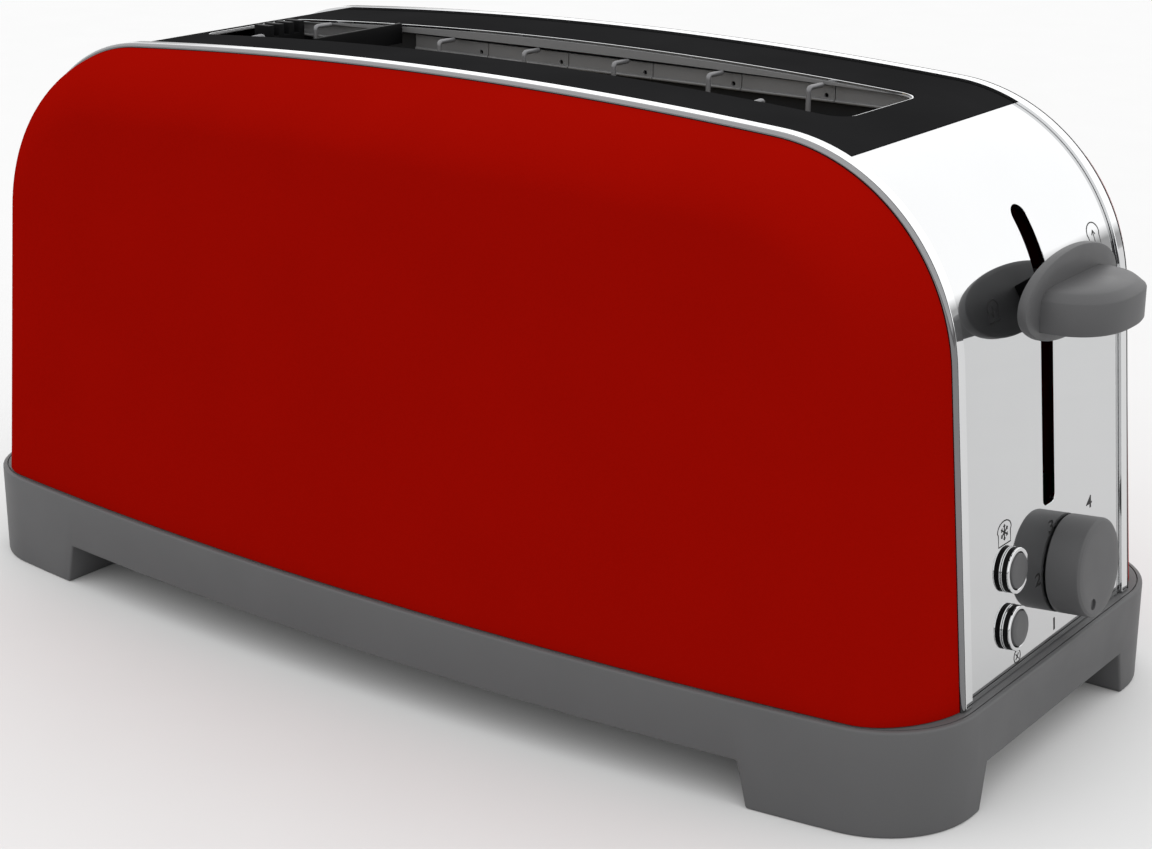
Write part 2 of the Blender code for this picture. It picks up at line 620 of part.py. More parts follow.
def slot_ring(name, low, high_inset, look):
    """A ring just inside the slot's hole, cut off at the arch drawn inward by high_inset."""
    half_x, half_y = SLOT_LENGTH / 2 - GAP, SLOT_WIDTH / 2 - GAP
    ring = prism(name, rounded_slot(half_x, half_y, SLOT_CORNER), "Z", low, BODY_HEIGHT + CUT, look)
    inside = rounded_slot(half_x - RIM_WALL, half_y - RIM_WALL, SLOT_CORNER - RIM_WALL)
    boolean(ring, prism(name + "_inside", inside, "Z", low - CUT, BODY_HEIGHT + 2 * CUT))
    block = whole_arch(high_inset, 0)
    boolean(ring, prism(name + "_top", block, "Y", -HALF_BAND, HALF_BAND), "INTERSECT")
    return ring


def make_slot_rings():
    proud = PANEL_INSET - RIM_PROUD
    rim = slot_ring("slot_rim", CHASSIS_TOP, proud, CHROME)
    below = whole_arch(proud + RIM_HEIGHT, 0)
    boolean(rim, prism("slot_rim_bottom", below, "Y", -HALF_BAND, HALF_BAND))
    slot_ring("slot_collar", COLLAR_BOTTOM, proud + RIM_HEIGHT + GAP, STEEL)


def make_divider():
    wide = SLOT_WIDTH / 2 - 2 * GAP - RIM_WALL
    narrow = GUARD_OUTER_Y - GUARD_RAIL - GUARD_TRAVEL - GAP
    top = crown_height(DIVIDER_X, PANEL_INSET) + 0.2 * MM
    right = [(narrow, DIVIDER_BOTTOM), (narrow, DIVIDER_NECK_Z), (wide, DIVIDER_NECK_Z), (wide, top)]
    thickness = DIVIDER_THICKNESS / 2
    prism("slot_divider", right + mirrored(right), "X", DIVIDER_X - thickness, DIVIDER_X + thickness, BLACK)


# ---------------------------------------------------------------- chassis and heaters


def guard_places():
    return [GUARD_FIRST_X - i * GUARD_PITCH for i in range(GUARD_COUNT)] + [GUARD_EXTRA_X]


def make_chassis():
    inner, width = CHASSIS_LENGTH / 2, CHASSIS_WIDTH / 2
    box("rear_end_plate", (-inner - SHEET, -width, BODY_LOW), (-inner, width, CHASSIS_TOP), STEEL)
    plate = box("control_end_plate", (inner, -width, BODY_LOW), (inner + SHEET, width, CHASSIS_TOP), STEEL)
    foot = ((inner + SHEET / 2, -width, BODY_LOW), (inner + FOOT_FLANGE, width, BODY_LOW + SHEET))
    roof = ((inner + SHEET / 2, -width, TOP_FLANGE_Z), (inner + TOP_FLANGE, width, TOP_FLANGE_Z + SHEET))
    boolean(plate, box("foot_flange", *foot), "UNION")
    boolean(plate, box("top_flange", *roof), "UNION")
    low, high = RACK_Z - LEVER_DROP - 9 * MM, RACK_Z + LEVER_LIFT + 4 * MM
    boolean(plate, box("rack_window", (inner - CUT, -RACK_ARM, low), (inner + SHEET + CUT, RACK_ARM, high)))


def make_reflector(name, side):
    half = CHASSIS_LENGTH / 2 - GAP
    near, far = side * REFLECTOR_Y, side * (REFLECTOR_Y + CARD_SHEET)
    low, high = sorted((near, far))
    sheet = box(name, (-half, low, BODY_LOW), (half, high, REFLECTOR_TOP), STEEL)
    for i in range(REFLECTOR_HOLES):
        place = GUARD_FIRST_X - i * REFLECTOR_HOLE_PITCH
        hole = rod(f"{name}_hole_{i}", REFLECTOR_HOLE, (place, low - CUT, REFLECTOR_HOLE_Z),
                   (place, high + CUT, REFLECTOR_HOLE_Z), segments=8)
        boolean(sheet, hole)


def make_heater(name, side):
    half = CARD_LENGTH / 2
    low, high = sorted((side * CARD_Y, side * (CARD_Y + CARD_SHEET)))
    box(f"{name}_heater_card", (-half, low, CARD_LOW), (half, high, CARD_HIGH), MICA)
    y = side * (CARD_Y - GAP - HEATER_WIRE)
    reach = half - 6 * MM
    rise = (CARD_HIGH - CARD_LOW - 16 * MM) / (WIRE_TURNS - 1)
    points = []
    for i in range(WIRE_TURNS):
        z = CARD_LOW + 8 * MM + i * rise
        ends = [(-reach, y, z), (reach, y, z)]
        points += ends if i % 2 == 0 else ends[::-1]
    add(f"{name}_heating_element", wire_mesh(name + "_element", points, HEATER_WIRE, 1), STEEL)


def make_guard(name, side):
    half = GUARD_RAIL_LENGTH / 2
    rail = rod(name, GUARD_RAIL, (-half, side * GUARD_OUTER_Y, GUARD_RAIL_Z),
               (half, side * GUARD_OUTER_Y, GUARD_RAIL_Z), STEEL, segments=10)
    foot = rod(name + "_foot_rail", GUARD_RAIL, (-half, side * GUARD_FOOT_Y, GUARD_FOOT_Z),
               (half, side * GUARD_FOOT_Y, GUARD_FOOT_Z), segments=10)
    for i, x in enumerate(guard_places()):
        path = [
            (x, side * GUARD_OUTER_Y, GUARD_RAIL_Z - GUARD_WIRE / 2), (x, side * GUARD_OUTER_Y, GUARD_TOP_Z),
            (x, side * GUARD_INNER_Y, GUARD_TOP_Z), (x, side * GUARD_INNER_Y, GUARD_FOOT_Z + 6 * MM),
            (x, side * GUARD_FOOT_Y, GUARD_FOOT_Z - GUARD_WIRE / 2),
        ]
        bar = add(f"{name}_wire_{i}", wire_mesh(f"{name}_wire_{i}", path, GUARD_WIRE, 1))
        boolean(rail, bar, "UNION")
    boolean(rail, foot, "UNION")


def make_comb():
    """Black guide comb at the far end of the slot, on the rear end plate."""
    half = COMB_WIDTH / 2
    pitch = COMB_WIDTH / (2 * COMB_TEETH - 1)
    top = []
    for i in range(COMB_TEETH):
        start = COMB_Y + half - 2 * i * pitch
        end = start - pitch
        top += [(start, COMB_TOOTH_Z), (start, COMB_HIGH), (end, COMB_HIGH), (end, COMB_TOOTH_Z)]
    outline = [(COMB_Y - half, COMB_LOW), (COMB_Y + half, COMB_LOW)] + top
    back = -SLOT_LENGTH / 2 + 2 * GAP + RIM_WALL + COMB_STEP
    comb = prism("end_comb", outline, "X", back, back + COMB_LENGTH, BLACK)
    foot = box("comb_foot", (-CHASSIS_LENGTH / 2 + GAP, COMB_Y - half, COMB_LOW),
               (back + COMB_FOOT, COMB_Y + half, COMB_LOW + COMB_FOOT))
    boolean(comb, foot, "UNION")


# ---------------------------------------------------------------- carriage


def rack_outline():
    """A spine with short fingers on both sides."""
    half, spine, wide = RACK_LENGTH / 2, RACK_SPINE / 2, RACK_WIDTH / 2
    count = int((RACK_LENGTH - RACK_FINGER) / RACK_PITCH) + 1
    start = -(count - 1) / 2 * RACK_PITCH
    side = [(-half, spine)]
    for i in range(count):
        low, high = start + i * RACK_PITCH - RACK_FINGER / 2, start + i * RACK_PITCH + RACK_FINGER / 2
        side += [(low, spine), (low, wide), (high, wide), (high, spine)]
    side += [(half, spine)]
    return side + [(x, -y) for x, y in reversed(side)]


def make_rack():
    rack = prism("bread_rack", rack_outline(), "Z", RACK_Z, RACK_Z + RACK_SHEET, STEEL)
    end = SLIDER_X - SLIDER_LENGTH / 2 - GAP
    arm = RACK_ARM / 2
    low, start = RACK_Z - 5 * MM, -RACK_LENGTH / 2 + 6 * MM
    beam = box("rack_beam", (start, -arm, low), (end, arm, RACK_Z + RACK_SHEET / 2))
    post = box("rack_post", (end - 5 * MM, -arm, low), (end, arm, LEVER_Z))
    boolean(rack, beam, "UNION")
    boolean(rack, post, "UNION")


def make_slider():
    half_x, half_y = SLIDER_LENGTH / 2, SLIDER_WIDTH / 2
    top = SLIDER_LOW + SLIDER_HEIGHT
    slider = box("carriage_slider", (SLIDER_X - half_x, -half_y, SLIDER_LOW),
                 (SLIDER_X + half_x, half_y, top), BLACK)
    for i, side in enumerate((-1, 1)):
        y = side * ROD_Y
        bore = rod(f"slider_bore_{i}", ROD_RADIUS + ROD_CLEARANCE, (SLIDER_X, y, SLIDER_LOW - CUT),
                   (SLIDER_X, y, top + CUT))
        boolean(slider, bore)
    low, high = BODY_LOW + SHEET + GAP, TOP_FLANGE_Z - GAP
    for name, side in (("front", -1), ("rear", 1)):
        place = side * ROD_Y
        ends = (SLIDER_X, place, low), (SLIDER_X, place, high)
        rod(f"{name}_guide_rod", ROD_RADIUS, *ends, STEEL, segments=12)


def make_spring():
    low = BODY_LOW + SHEET + GAP + SPRING_WIRE
    high = SLIDER_LOW - GAP - SPRING_WIRE
    steps = SPRING_TURNS * 10
    points = []
    for i in range(steps + 1):
        turn = 2 * math.pi * i / 10
        x, y = SLIDER_X + SPRING_RADIUS * math.cos(turn), ROD_Y + SPRING_RADIUS * math.sin(turn)
        points.append((x, y, low + (high - low) * i / steps))
    add("lift_spring", wire_mesh("lift_spring", points, SPRING_WIRE, 1), STEEL)


def make_lever():
    stem, tall = STEM_WIDTH / 2, STEM_HEIGHT / 2
    low = (SLIDER_X + SLIDER_LENGTH / 2 + GAP, LEVER_Y - stem, LEVER_Z - tall)
    box("lever_arm", low, (FLANGE_BACK_X - GAP, LEVER_Y + stem, LEVER_Z + tall), BLACK)
    circle = arc((0, 0), 1, 0, 2 * math.pi, 32)[:-1]
    middle = LEVER_Z + FLANGE_RISE
    outline = [(HANDLE_Y + y * FLANGE_WIDTH / 2, middle + z * FLANGE_HEIGHT / 2) for y, z in circle]
    back, front = FLANGE_BACK_X, FLANGE_BACK_X + FLANGE_THICKNESS
    handle = prism("lever_handle", outline, "X", back, front, GREY)
    power = 2 / PADDLE_ROUND
    half = PADDLE_WIDTH / 2
    paddle = []
    for x, y in arc((0, 0), 1, -math.pi / 2, math.pi / 2, 20):
        reach = max(x, 0) ** power * PADDLE_REACH
        paddle.append((front + reach, HANDLE_Y + math.copysign(abs(y) ** power, y) * half))
    inside = front - FLANGE_THICKNESS / 2
    paddle = [(inside, HANDLE_Y - half)] + paddle + [(inside, HANDLE_Y + half)]
    low, high = LEVER_Z - PADDLE_HEIGHT / 2, LEVER_Z + PADDLE_HEIGHT / 2
    boolean(handle, prism("paddle", paddle, "Z", low, high), "UNION")


def make_magnet():
    half = MAGNET_SIZE / 2
    low, top = MAGNET_LOW, MAGNET_LOW + MAGNET_HEIGHT
    box("electromagnet_core", (MAGNET_X - half, MAGNET_Y - half, low),
        (MAGNET_X + half, MAGNET_Y + half, top), STEEL)
    outer, inner = half + GAP + COIL_WALL, half + GAP
    bottom, height = low + 3 * MM, top - low - 6 * MM
    coil = box("electromagnet_coil", (MAGNET_X - outer, MAGNET_Y - outer, bottom),
               (MAGNET_X + outer, MAGNET_Y + outer, bottom + height), COPPER)
    boolean(coil, box("coil_inside", (MAGNET_X - inner, MAGNET_Y - inner, bottom - CUT),
                      (MAGNET_X + inner, MAGNET_Y + inner, bottom + height + CUT)))
    start = SLIDER_X + SLIDER_LENGTH / 2 + GAP
    keeper = box("magnet_keeper", (start, MAGNET_Y - half, KEEPER_BOTTOM),
                 (MAGNET_X + half, MAGNET_Y + half, KEEPER_BOTTOM + KEEPER_SHEET), STEEL)
    leg = box("keeper_leg", (start, MAGNET_Y - half, KEEPER_BOTTOM + KEEPER_SHEET / 2),
              (start + KEEPER_SHEET, MAGNET_Y + half, SLIDER_LOW + SLIDER_HEIGHT - 2 * MM))
    boolean(keeper, leg, "UNION")


# ---------------------------------------------------------------- controls


def facing_out(x, y, up):
    """A matrix that lays a turned piece's Z along the panel's outward X."""
    return Matrix.Translation((x, y, up)) @ Matrix.Rotation(math.pi / 2, 4, "Y")


def make_knob():
    back, front = KNOB_STANDOFF, KNOB_STANDOFF + KNOB_LENGTH
    bore = SHAFT_RADIUS + GAP
    soft = 1.0 * MM
    profile = [
        (0, front), (KNOB_RADIUS - 2 * soft, front), (KNOB_RADIUS - soft, front - soft / 2),
        (KNOB_RADIUS - soft / 2, front - 1.6 * soft), (KNOB_RADIUS, back), (bore, back),
        (bore, SHAFT_TIP + GAP), (0, SHAFT_TIP + GAP),
    ]
    knob = turned("browning_knob", profile, GREY, PANEL, facing_out(0, KNOB_Y, KNOB_UP), steps=40)
    y = KNOB_Y + KNOB_INDEX_PLACE * math.cos(KNOB_INDEX_ANGLE)
    up = KNOB_UP + KNOB_INDEX_PLACE * math.sin(KNOB_INDEX_ANGLE)
    ends = (front - 0.8 * MM, y, up), (front + CUT, y, up)
    boolean(knob, rod("knob_index", KNOB_INDEX_RADIUS, *ends, parent=PANEL))
    pot_front = -BOARD_DEPTH + GAP + POT_DEPTH
    rod("browning_shaft", SHAFT_RADIUS, (pot_front + GAP, KNOB_Y, KNOB_UP),
        (SHAFT_TIP, KNOB_Y, KNOB_UP), STEEL, PANEL)
    half = POT_SIZE / 2
    box("browning_potentiometer", (-BOARD_DEPTH + GAP, KNOB_Y - half, KNOB_UP - half),
        (pot_front, KNOB_Y + half, KNOB_UP + half), STEEL, PANEL)


def make_button(name, up):
    switch_front = -BOARD_DEPTH + GAP + SWITCH_DEPTH
    back = switch_front + GAP + BUTTON_TRAVEL
    rim = BUTTON_RADIUS + 1.2 * MM
    rim_front = -PANEL_THICKNESS - GAP
    profile = [
        (0, BUTTON_PROUD), (BUTTON_RADIUS - 0.6 * MM, BUTTON_PROUD),
        (BUTTON_RADIUS, BUTTON_PROUD - 0.6 * MM), (BUTTON_RADIUS, rim_front), (rim, rim_front),
        (rim, rim_front - MM), (BUTTON_RADIUS / 2, rim_front - MM),
        (BUTTON_RADIUS / 2, back), (0, back),
    ]
    turned(f"{name}_button", profile, GREY, PANEL, facing_out(0, BUTTON_Y, up))
    inner = BUTTON_RADIUS + GAP
    ring = turned(f"{name}_bezel", [
        (0, BEZEL_HEIGHT), (BEZEL_RADIUS - 0.8 * MM, BEZEL_HEIGHT), (BEZEL_RADIUS, BEZEL_HEIGHT - 0.8 * MM),
        (BEZEL_RADIUS, GAP), (0, GAP),
    ], CHROME, PANEL, facing_out(0, BUTTON_Y, up), steps=24)
    boolean(ring, rod(f"{name}_bezel_bore", inner, (-CUT, BUTTON_Y, up), (BEZEL_HEIGHT + CUT, BUTTON_Y, up),
                      parent=PANEL, segments=24))
    half = SWITCH_SIZE / 2
    box(f"{name}_switch", (-BOARD_DEPTH + GAP, BUTTON_Y - half, up - half),
        (switch_front, BUTTON_Y + half, up + half), BLACK, PANEL)


def make_controls():
    make_knob()
    for name, up in BUTTONS.items():
        make_button(name, up)
    box("control_board", (-BOARD_DEPTH - BOARD_SHEET, BOARD_LEFT, BOARD_LOW),
        (-BOARD_DEPTH, BOARD_RIGHT, BOARD_HIGH), BOARD_GREEN, PANEL)


def make_cord_inlet():
    outside, inside = -HALF_LENGTH - GAP, -HALF_LENGTH + BASE_WALL + 3 * MM
    # The flange lies outside the wall; the neck goes through it.
    profile = [
        (GLAND_BORE, outside - GLAND_PROUD), (GLAND_FLANGE - 0.6 * MM, outside - GLAND_PROUD),
        (GLAND_FLANGE, outside - GLAND_PROUD / 2), (GLAND_FLANGE, outside), (GLAND_RADIUS, outside),
        (GLAND_RADIUS, inside), (GLAND_BORE, inside), (GLAND_BORE, outside - GLAND_PROUD),
    ]
    place = Matrix.Translation((0, GLAND_Y, GLAND_Z)) @ Matrix.Rotation(math.pi / 2, 4, "Y")
    turned("cord_gland", profile[::-1], BLACK, matrix=place)
    half = TERMINAL_SIZE / 2
    box("terminal_block", (TERMINAL_X - half.x, -half.y, BODY_LOW),
        (TERMINAL_X + half.x, half.y, BODY_LOW + 2 * half.z), GREY)


def make_panel_frame():
    """An empty on the control panel's outer face, at the base: X points out of the panel, Z up along it."""
    frame = bpy.data.objects.new("panel_frame", None)
    PARTS.objects.link(frame)
    frame.parent = FRAME
    foot_x = arch_end(PANEL_INSET, BASE_HEIGHT)[0][0]
    frame.matrix_local = Matrix.Translation((foot_x, 0, BASE_HEIGHT)) @ Matrix.Rotation(-END_LEAN, 4, "Y")
    return frame


def make_frame():
    frame = bpy.data.objects.new("toaster_frame", None)
    PARTS.objects.link(frame)
    frame.location = (-CENTRE_SHIFT, 0, 0)
    return frame


def make_toaster():
    make_base()
    make_bottom_plate()
    make_screws()
    make_crumb_tray()
    for name, side in (("front", 1), ("rear", -1)):
        make_shell(f"{name}_shell", side)
    for name, side in (("front", -1), ("rear", 1)):
        make_trim(f"{name}_trim", side)
        make_reflector(f"{name}_reflector", side)
        make_heater(name, side)
        make_guard(f"{name}_guard", side)
    make_control_panel()
    make_end_panel("end_panel", -1, CHROME)
    make_top_panel()
    make_slot_rings()
    make_divider()
    make_comb()
    make_chassis()
    make_rack()
    make_slider()
    make_spring()
    make_lever()
    make_magnet()
    make_controls()
    make_cord_inlet()


clear_scene()
PARTS = new_collection("pop_up_toaster")
CUTTERS = new_collection("cutters")
FRAME = make_frame()
PANEL = make_panel_frame()
make_toaster()
bpy.context.view_layer.update()
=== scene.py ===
"""Looks for a long slot pop up toaster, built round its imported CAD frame. Metres, +Z up, X along the slot.

The arch is the outline of the body seen from its long side. The sheet metal of the band that runs over it
is cut flat, with x as the distance up the arch, and then bent round it.
Everything is modelled about the middle of the base, and place() moves it into the row frame.
"""

import math

import bmesh
import bpy
from mathutils import Matrix, Vector


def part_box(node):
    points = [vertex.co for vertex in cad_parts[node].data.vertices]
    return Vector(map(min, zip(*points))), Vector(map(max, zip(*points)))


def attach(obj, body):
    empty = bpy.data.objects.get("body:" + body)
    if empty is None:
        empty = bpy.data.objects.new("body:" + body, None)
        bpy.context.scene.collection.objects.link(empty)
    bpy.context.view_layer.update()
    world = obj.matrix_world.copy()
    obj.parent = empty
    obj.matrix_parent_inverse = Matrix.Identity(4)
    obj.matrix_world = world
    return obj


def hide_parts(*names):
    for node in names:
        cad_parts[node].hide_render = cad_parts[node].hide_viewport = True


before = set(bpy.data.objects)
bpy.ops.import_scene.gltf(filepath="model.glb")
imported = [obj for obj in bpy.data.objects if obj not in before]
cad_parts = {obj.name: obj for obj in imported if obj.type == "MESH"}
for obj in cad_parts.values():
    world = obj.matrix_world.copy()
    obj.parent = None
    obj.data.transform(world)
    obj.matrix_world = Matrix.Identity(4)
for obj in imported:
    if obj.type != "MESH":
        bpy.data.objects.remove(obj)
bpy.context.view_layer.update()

MM = 0.001

# Read from the frame.
BASE_LOW, BASE_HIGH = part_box("base")
MIDDLE = (BASE_LOW.x + BASE_HIGH.x) / 2
HALF_LENGTH = (BASE_HIGH.x - BASE_LOW.x) / 2
HALF_WIDTH = BASE_HIGH.y
BASE_TOP = BASE_HIGH.z
BODY_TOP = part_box("rear_trim")[1].z
TRIM_IN, TRIM_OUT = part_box("rear_trim")[0].y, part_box("rear_trim")[1].y
TOP_HALF = (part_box("top_panel")[1].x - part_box("top_panel")[0].x) / 2
PANEL_HALF_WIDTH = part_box("top_panel")[1].y
SLOT_HALF = (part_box("slot_rim")[1].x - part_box("slot_rim")[0].x) / 2
SLOT_HALF_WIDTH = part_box("slot_rim")[1].y

# Clearance between pieces, and the welding distance for seams in a turned or swept mesh.
GAP = 0.3 * MM
WELD = 0.01 * MM

# Arch.
END_LEDGE = 3.1 * MM
ARCH_REACH = HALF_LENGTH - END_LEDGE
END_LEAN = math.radians(5)
ARCH_CORNER = 63 * MM
CROWN_RADIUS = 1.8
PANEL_INSET = 1.0 * MM
PANEL_SHEET = 1.4 * MM
TRIM_DEPTH = 3 * MM

# Painted sides.
SIDE_BOW = 14 * MM
SIDE_LEDGE = 2 * MM
SIDE_LEAN = 0.042
SIDE_INSET, END_INSET = 1.5 * MM, 1.2 * MM
SIDE_ROLL = 21.5 * MM
ROLL_START = math.radians(15)
SIDE_SHEET = 1.2 * MM
FACE_FOOT_SHARE = 0.9  # how far along the base the face's rows of points gather

# Base.
BASE_CORNER = 31 * MM
SKIRT_LOW = 14.2 * MM
SKIRT_WALL = 3 * MM
FOOT_LENGTH = 57.6 * MM
FOOT_WIDTH = 51 * MM
FOOT_CORNER = 12 * MM  # what the corner takes from the foot's width
FOOT_TAPER = 3.2 * MM
GROOVE_INSET, GROOVE_WIDTH, GROOVE_DEPTH = 1.5 * MM, 0.4 * MM, 0.8 * MM
WELL_X, WELL_Y = 120 * MM, 42 * MM

# Slot.
SLOT_CORNER = 7 * MM


# ---------------------------------------------------------------- helpers


def local_box(node_name):
    """The low and high corners of a CAD node, about the middle of the base."""
    low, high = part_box(node_name)
    shift = Vector((MIDDLE, 0, 0))
    return low - shift, high - shift


def link(name, mesh):
    obj = bpy.data.objects.new(name, mesh)
    bpy.context.scene.collection.objects.link(obj)
    return obj


def mesh_from(name, bm):
    bmesh.ops.recalc_face_normals(bm, faces=bm.faces)
    mesh = bpy.data.meshes.new(name)
    bm.to_mesh(mesh)
    bm.free()
    return mesh


def smooth(obj, angle=35):
    obj.data.shade_smooth()
    obj.data.set_sharp_from_angle(angle=math.radians(angle))
    return obj


def weld(obj, distance=WELD):
    bm = bmesh.new()
    bm.from_mesh(obj.data)
    bmesh.ops.remove_doubles(bm, verts=bm.verts, dist=distance)
    bmesh.ops.recalc_face_normals(bm, faces=bm.faces)
    bm.to_mesh(obj.data)
    bm.free()
    return obj


def apply_modifiers(obj):
    bpy.context.view_layer.update()
    graph = bpy.context.evaluated_depsgraph_get()
    mesh = bpy.data.meshes.new_from_object(obj.evaluated_get(graph))
    obj.modifiers.clear()
    obj.data = mesh
    return obj


def carve(obj, cutters, operation="DIFFERENCE"):
    """Cuts the cutters from obj, or adds them to it, and removes them."""
    for cutter in cutters:
        modifier = obj.modifiers.new("carve", "BOOLEAN")
        modifier.operation = operation
        modifier.object = cutter
        modifier.solver = "EXACT"
    apply_modifiers(obj)
    for cutter in cutters:
        bpy.data.objects.remove(cutter, do_unlink=True)
    return obj


def bevel(obj, width, segments=3, angle=40):
    modifier = obj.modifiers.new("bevel", "BEVEL")
    modifier.width = width
    modifier.segments = segments
    modifier.limit_method = "ANGLE"
    modifier.angle_limit = math.radians(angle)
    modifier.use_clamp_overlap = True
    return apply_modifiers(obj)


def place(obj, material, body="housing", nodes=()):
    """Moves a piece into the row frame, and gives it its material, its body and the nodes it stands for."""
    obj.data.transform(Matrix.Translation((MIDDLE, 0, 0)) @ obj.matrix_world)
    obj.matrix_world = Matrix.Identity(4)
    obj.data.materials.clear()
    obj.data.materials.append(material)
    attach(obj, body)
    if nodes:
        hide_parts(*nodes)
    return obj


def arc(centre, radius, start, end, steps):
    turns = [start + (end - start) * i / steps for i in range(steps + 1)]
    return [(centre[0] + radius * math.cos(t), centre[1] + radius * math.sin(t)) for t in turns]


def ring_of(radius, steps, centre=(0, 0)):
    """A whole circle of points, without the last one that would repeat the first."""
    return arc(centre, radius, 0, 2 * math.pi, steps)[:-1]


def rounded_box(half_x, half_y, radius, steps=8):
    """A rectangle with round corners about the origin, anticlockwise."""
    points = []
    for i, (sx, sy) in enumerate(((1, 1), (-1, 1), (-1, -1), (1, -1))):
        start = i * math.pi / 2
        centre = (sx * (half_x - radius), sy * (half_y - radius))
        points += arc(centre, radius, start, start + math.pi / 2, steps)
    return points


def skin(name, rings, close_rings=True, caps=True):
    """Joins rings of points into a tube, with flat caps."""
    bm = bmesh.new()
    grid = [[bm.verts.new(p) for p in ring] for ring in rings]
    count = len(grid[0])
    for lower, upper in zip(grid, grid[1:]):
        for i in range(count if close_rings else count - 1):
            j = (i + 1) % count
            bm.faces.new((lower[i], lower[j], upper[j], upper[i]))
    if caps:
        bm.faces.new(grid[0])
        bm.faces.new(grid[-1])
    return link(name, mesh_from(name, bm))


def prism(name, outline, axis, low, high):
    """A closed outline of pairs, extruded along an axis. The pairs are the other two coordinates."""
    spots = {"X": lambda p, d: (d, *p), "Y": lambda p, d: (p[0], d, p[1]), "Z": lambda p, d: (*p, d)}
    spot = spots[axis]
    return skin(name, [[spot(p, low) for p in outline], [spot(p, high) for p in outline]])


def block(name, low, high):
    corners = [(low[0], low[1]), (high[0], low[1]), (high[0], high[1]), (low[0], high[1])]
    return prism(name, corners, "Z", low[2], high[2])


def turned(name, profile, steps=64):
    """A profile of (radius, height) pairs turned about Z. It closes where its radius is 0."""
    rings = []
    for radius, height in profile:
        circle = ring_of(max(radius, WELD), steps)
        rings.append([(x, y, height) for x, y in circle])
    return weld(skin(name, rings), 2 * WELD)


def hollow(name, profile, steps=64):
    """A closed profile of (radius, height) pairs turned about Z, open through its middle."""
    rings = [[(x, y, height) for x, y in ring_of(radius, steps)] for radius, height in profile]
    return weld(skin(name, rings + rings[:1], caps=False))


def wire(name, points, radius, sides=5):
    """A bent wire with closed ends, as a mesh."""
    curve = bpy.data.curves.new(name, "CURVE")
    curve.dimensions = "3D"
    curve.bevel_depth = radius
    curve.bevel_resolution = sides
    curve.use_fill_caps = True
    spline = curve.splines.new("POLY")
    spline.points.add(len(points) - 1)
    for point, spot in zip(spline.points, points):
        point.co = (*spot, 1)
    guide = link(name + "_guide", curve)
    obj = link(name, bpy.data.meshes.new(name))
    bpy.context.view_layer.update()
    graph = bpy.context.evaluated_depsgraph_get()
    obj.data = bpy.data.meshes.new_from_object(guide.evaluated_get(graph))
    bpy.data.objects.remove(guide, do_unlink=True)
    bm = bmesh.new()
    bm.from_mesh(obj.data)
    bmesh.ops.remove_doubles(bm, verts=bm.verts, dist=0.005 * MM)
    bm.to_mesh(obj.data)
    bm.free()
    return smooth(obj)


def rounded_path(corners, radius, steps=5):
    """A polyline with its inner corners rounded."""
    points = [Vector(corners[0])]
    for before, corner, after in zip(corners, corners[1:], corners[2:]):
        before, corner, after = Vector(before), Vector(corner), Vector(after)
        start = corner + (before - corner).normalized() * radius
        end = corner + (after - corner).normalized() * radius
        for i in range(steps + 1):
            t = i / steps
            points.append((1 - t) ** 2 * start + 2 * t * (1 - t) * corner + t * t * end)
    return points + [Vector(corners[-1])]


def merged(name, objects):
    """One object that holds the meshes of all of these, which are removed."""
    bm = bmesh.new()
    for obj in objects:
        bm.from_mesh(obj.data)
    mesh = bpy.data.meshes.new(name)
    bm.to_mesh(mesh)
    bm.free()
    for obj in objects:
        bpy.data.objects.remove(obj, do_unlink=True)
    return link(name, mesh)


# ---------------------------------------------------------------- arch


def corner_centre():
    along = Vector((-math.sin(END_LEAN), math.cos(END_LEAN)))
    out = Vector((math.cos(END_LEAN), math.sin(END_LEAN)))
    start = Vector((ARCH_REACH, BASE_TOP)) - out * ARCH_CORNER
    from_crown = start - Vector((0, BODY_TOP - CROWN_RADIUS))
    half = from_crown.dot(along)
    rest = from_crown.dot(from_crown) - (CROWN_RADIUS - ARCH_CORNER) ** 2
    run = math.sqrt(half * half - rest) - half
    return start + along * run, run


CORNER, SIDE_RUN = corner_centre()
CROWN_TURN = math.atan2(CORNER.y - (BODY_TOP - CROWN_RADIUS), CORNER.x)
CORNER_RUN = ARCH_CORNER * (CROWN_TURN - END_LEAN)
HALF_RUN = SIDE_RUN + CORNER_RUN + CROWN_RADIUS * (math.pi / 2 - CROWN_TURN)


def arch_at(s):
    """(x, z, angle of the outward normal) on the arch, at a distance up it from the base, over the crown."""
    if s > HALF_RUN:
        x, z, turn = arch_at(2 * HALF_RUN - s)
        return -x, z, math.pi - turn
    if s < SIDE_RUN:
        foot = Vector((ARCH_REACH, BASE_TOP))
        spot = foot + Vector((-math.sin(END_LEAN), math.cos(END_LEAN))) * s
        return spot.x, spot.y, END_LEAN
    if s < SIDE_RUN + CORNER_RUN:
        turn = END_LEAN + (s - SIDE_RUN) / ARCH_CORNER
        return CORNER.x + ARCH_CORNER * math.cos(turn), CORNER.y + ARCH_CORNER * math.sin(turn), turn
    turn = CROWN_TURN + (s - SIDE_RUN - CORNER_RUN) / CROWN_RADIUS
    return CROWN_RADIUS * math.cos(turn), BODY_TOP - CROWN_RADIUS + CROWN_RADIUS * math.sin(turn), turn


def on_band(s, y, out):
    """A point over the arch: a distance up it, across it, and outward from it."""
    x, z, turn = arch_at(s)
    return Vector((x + out * math.cos(turn), y, z + out * math.sin(turn)))


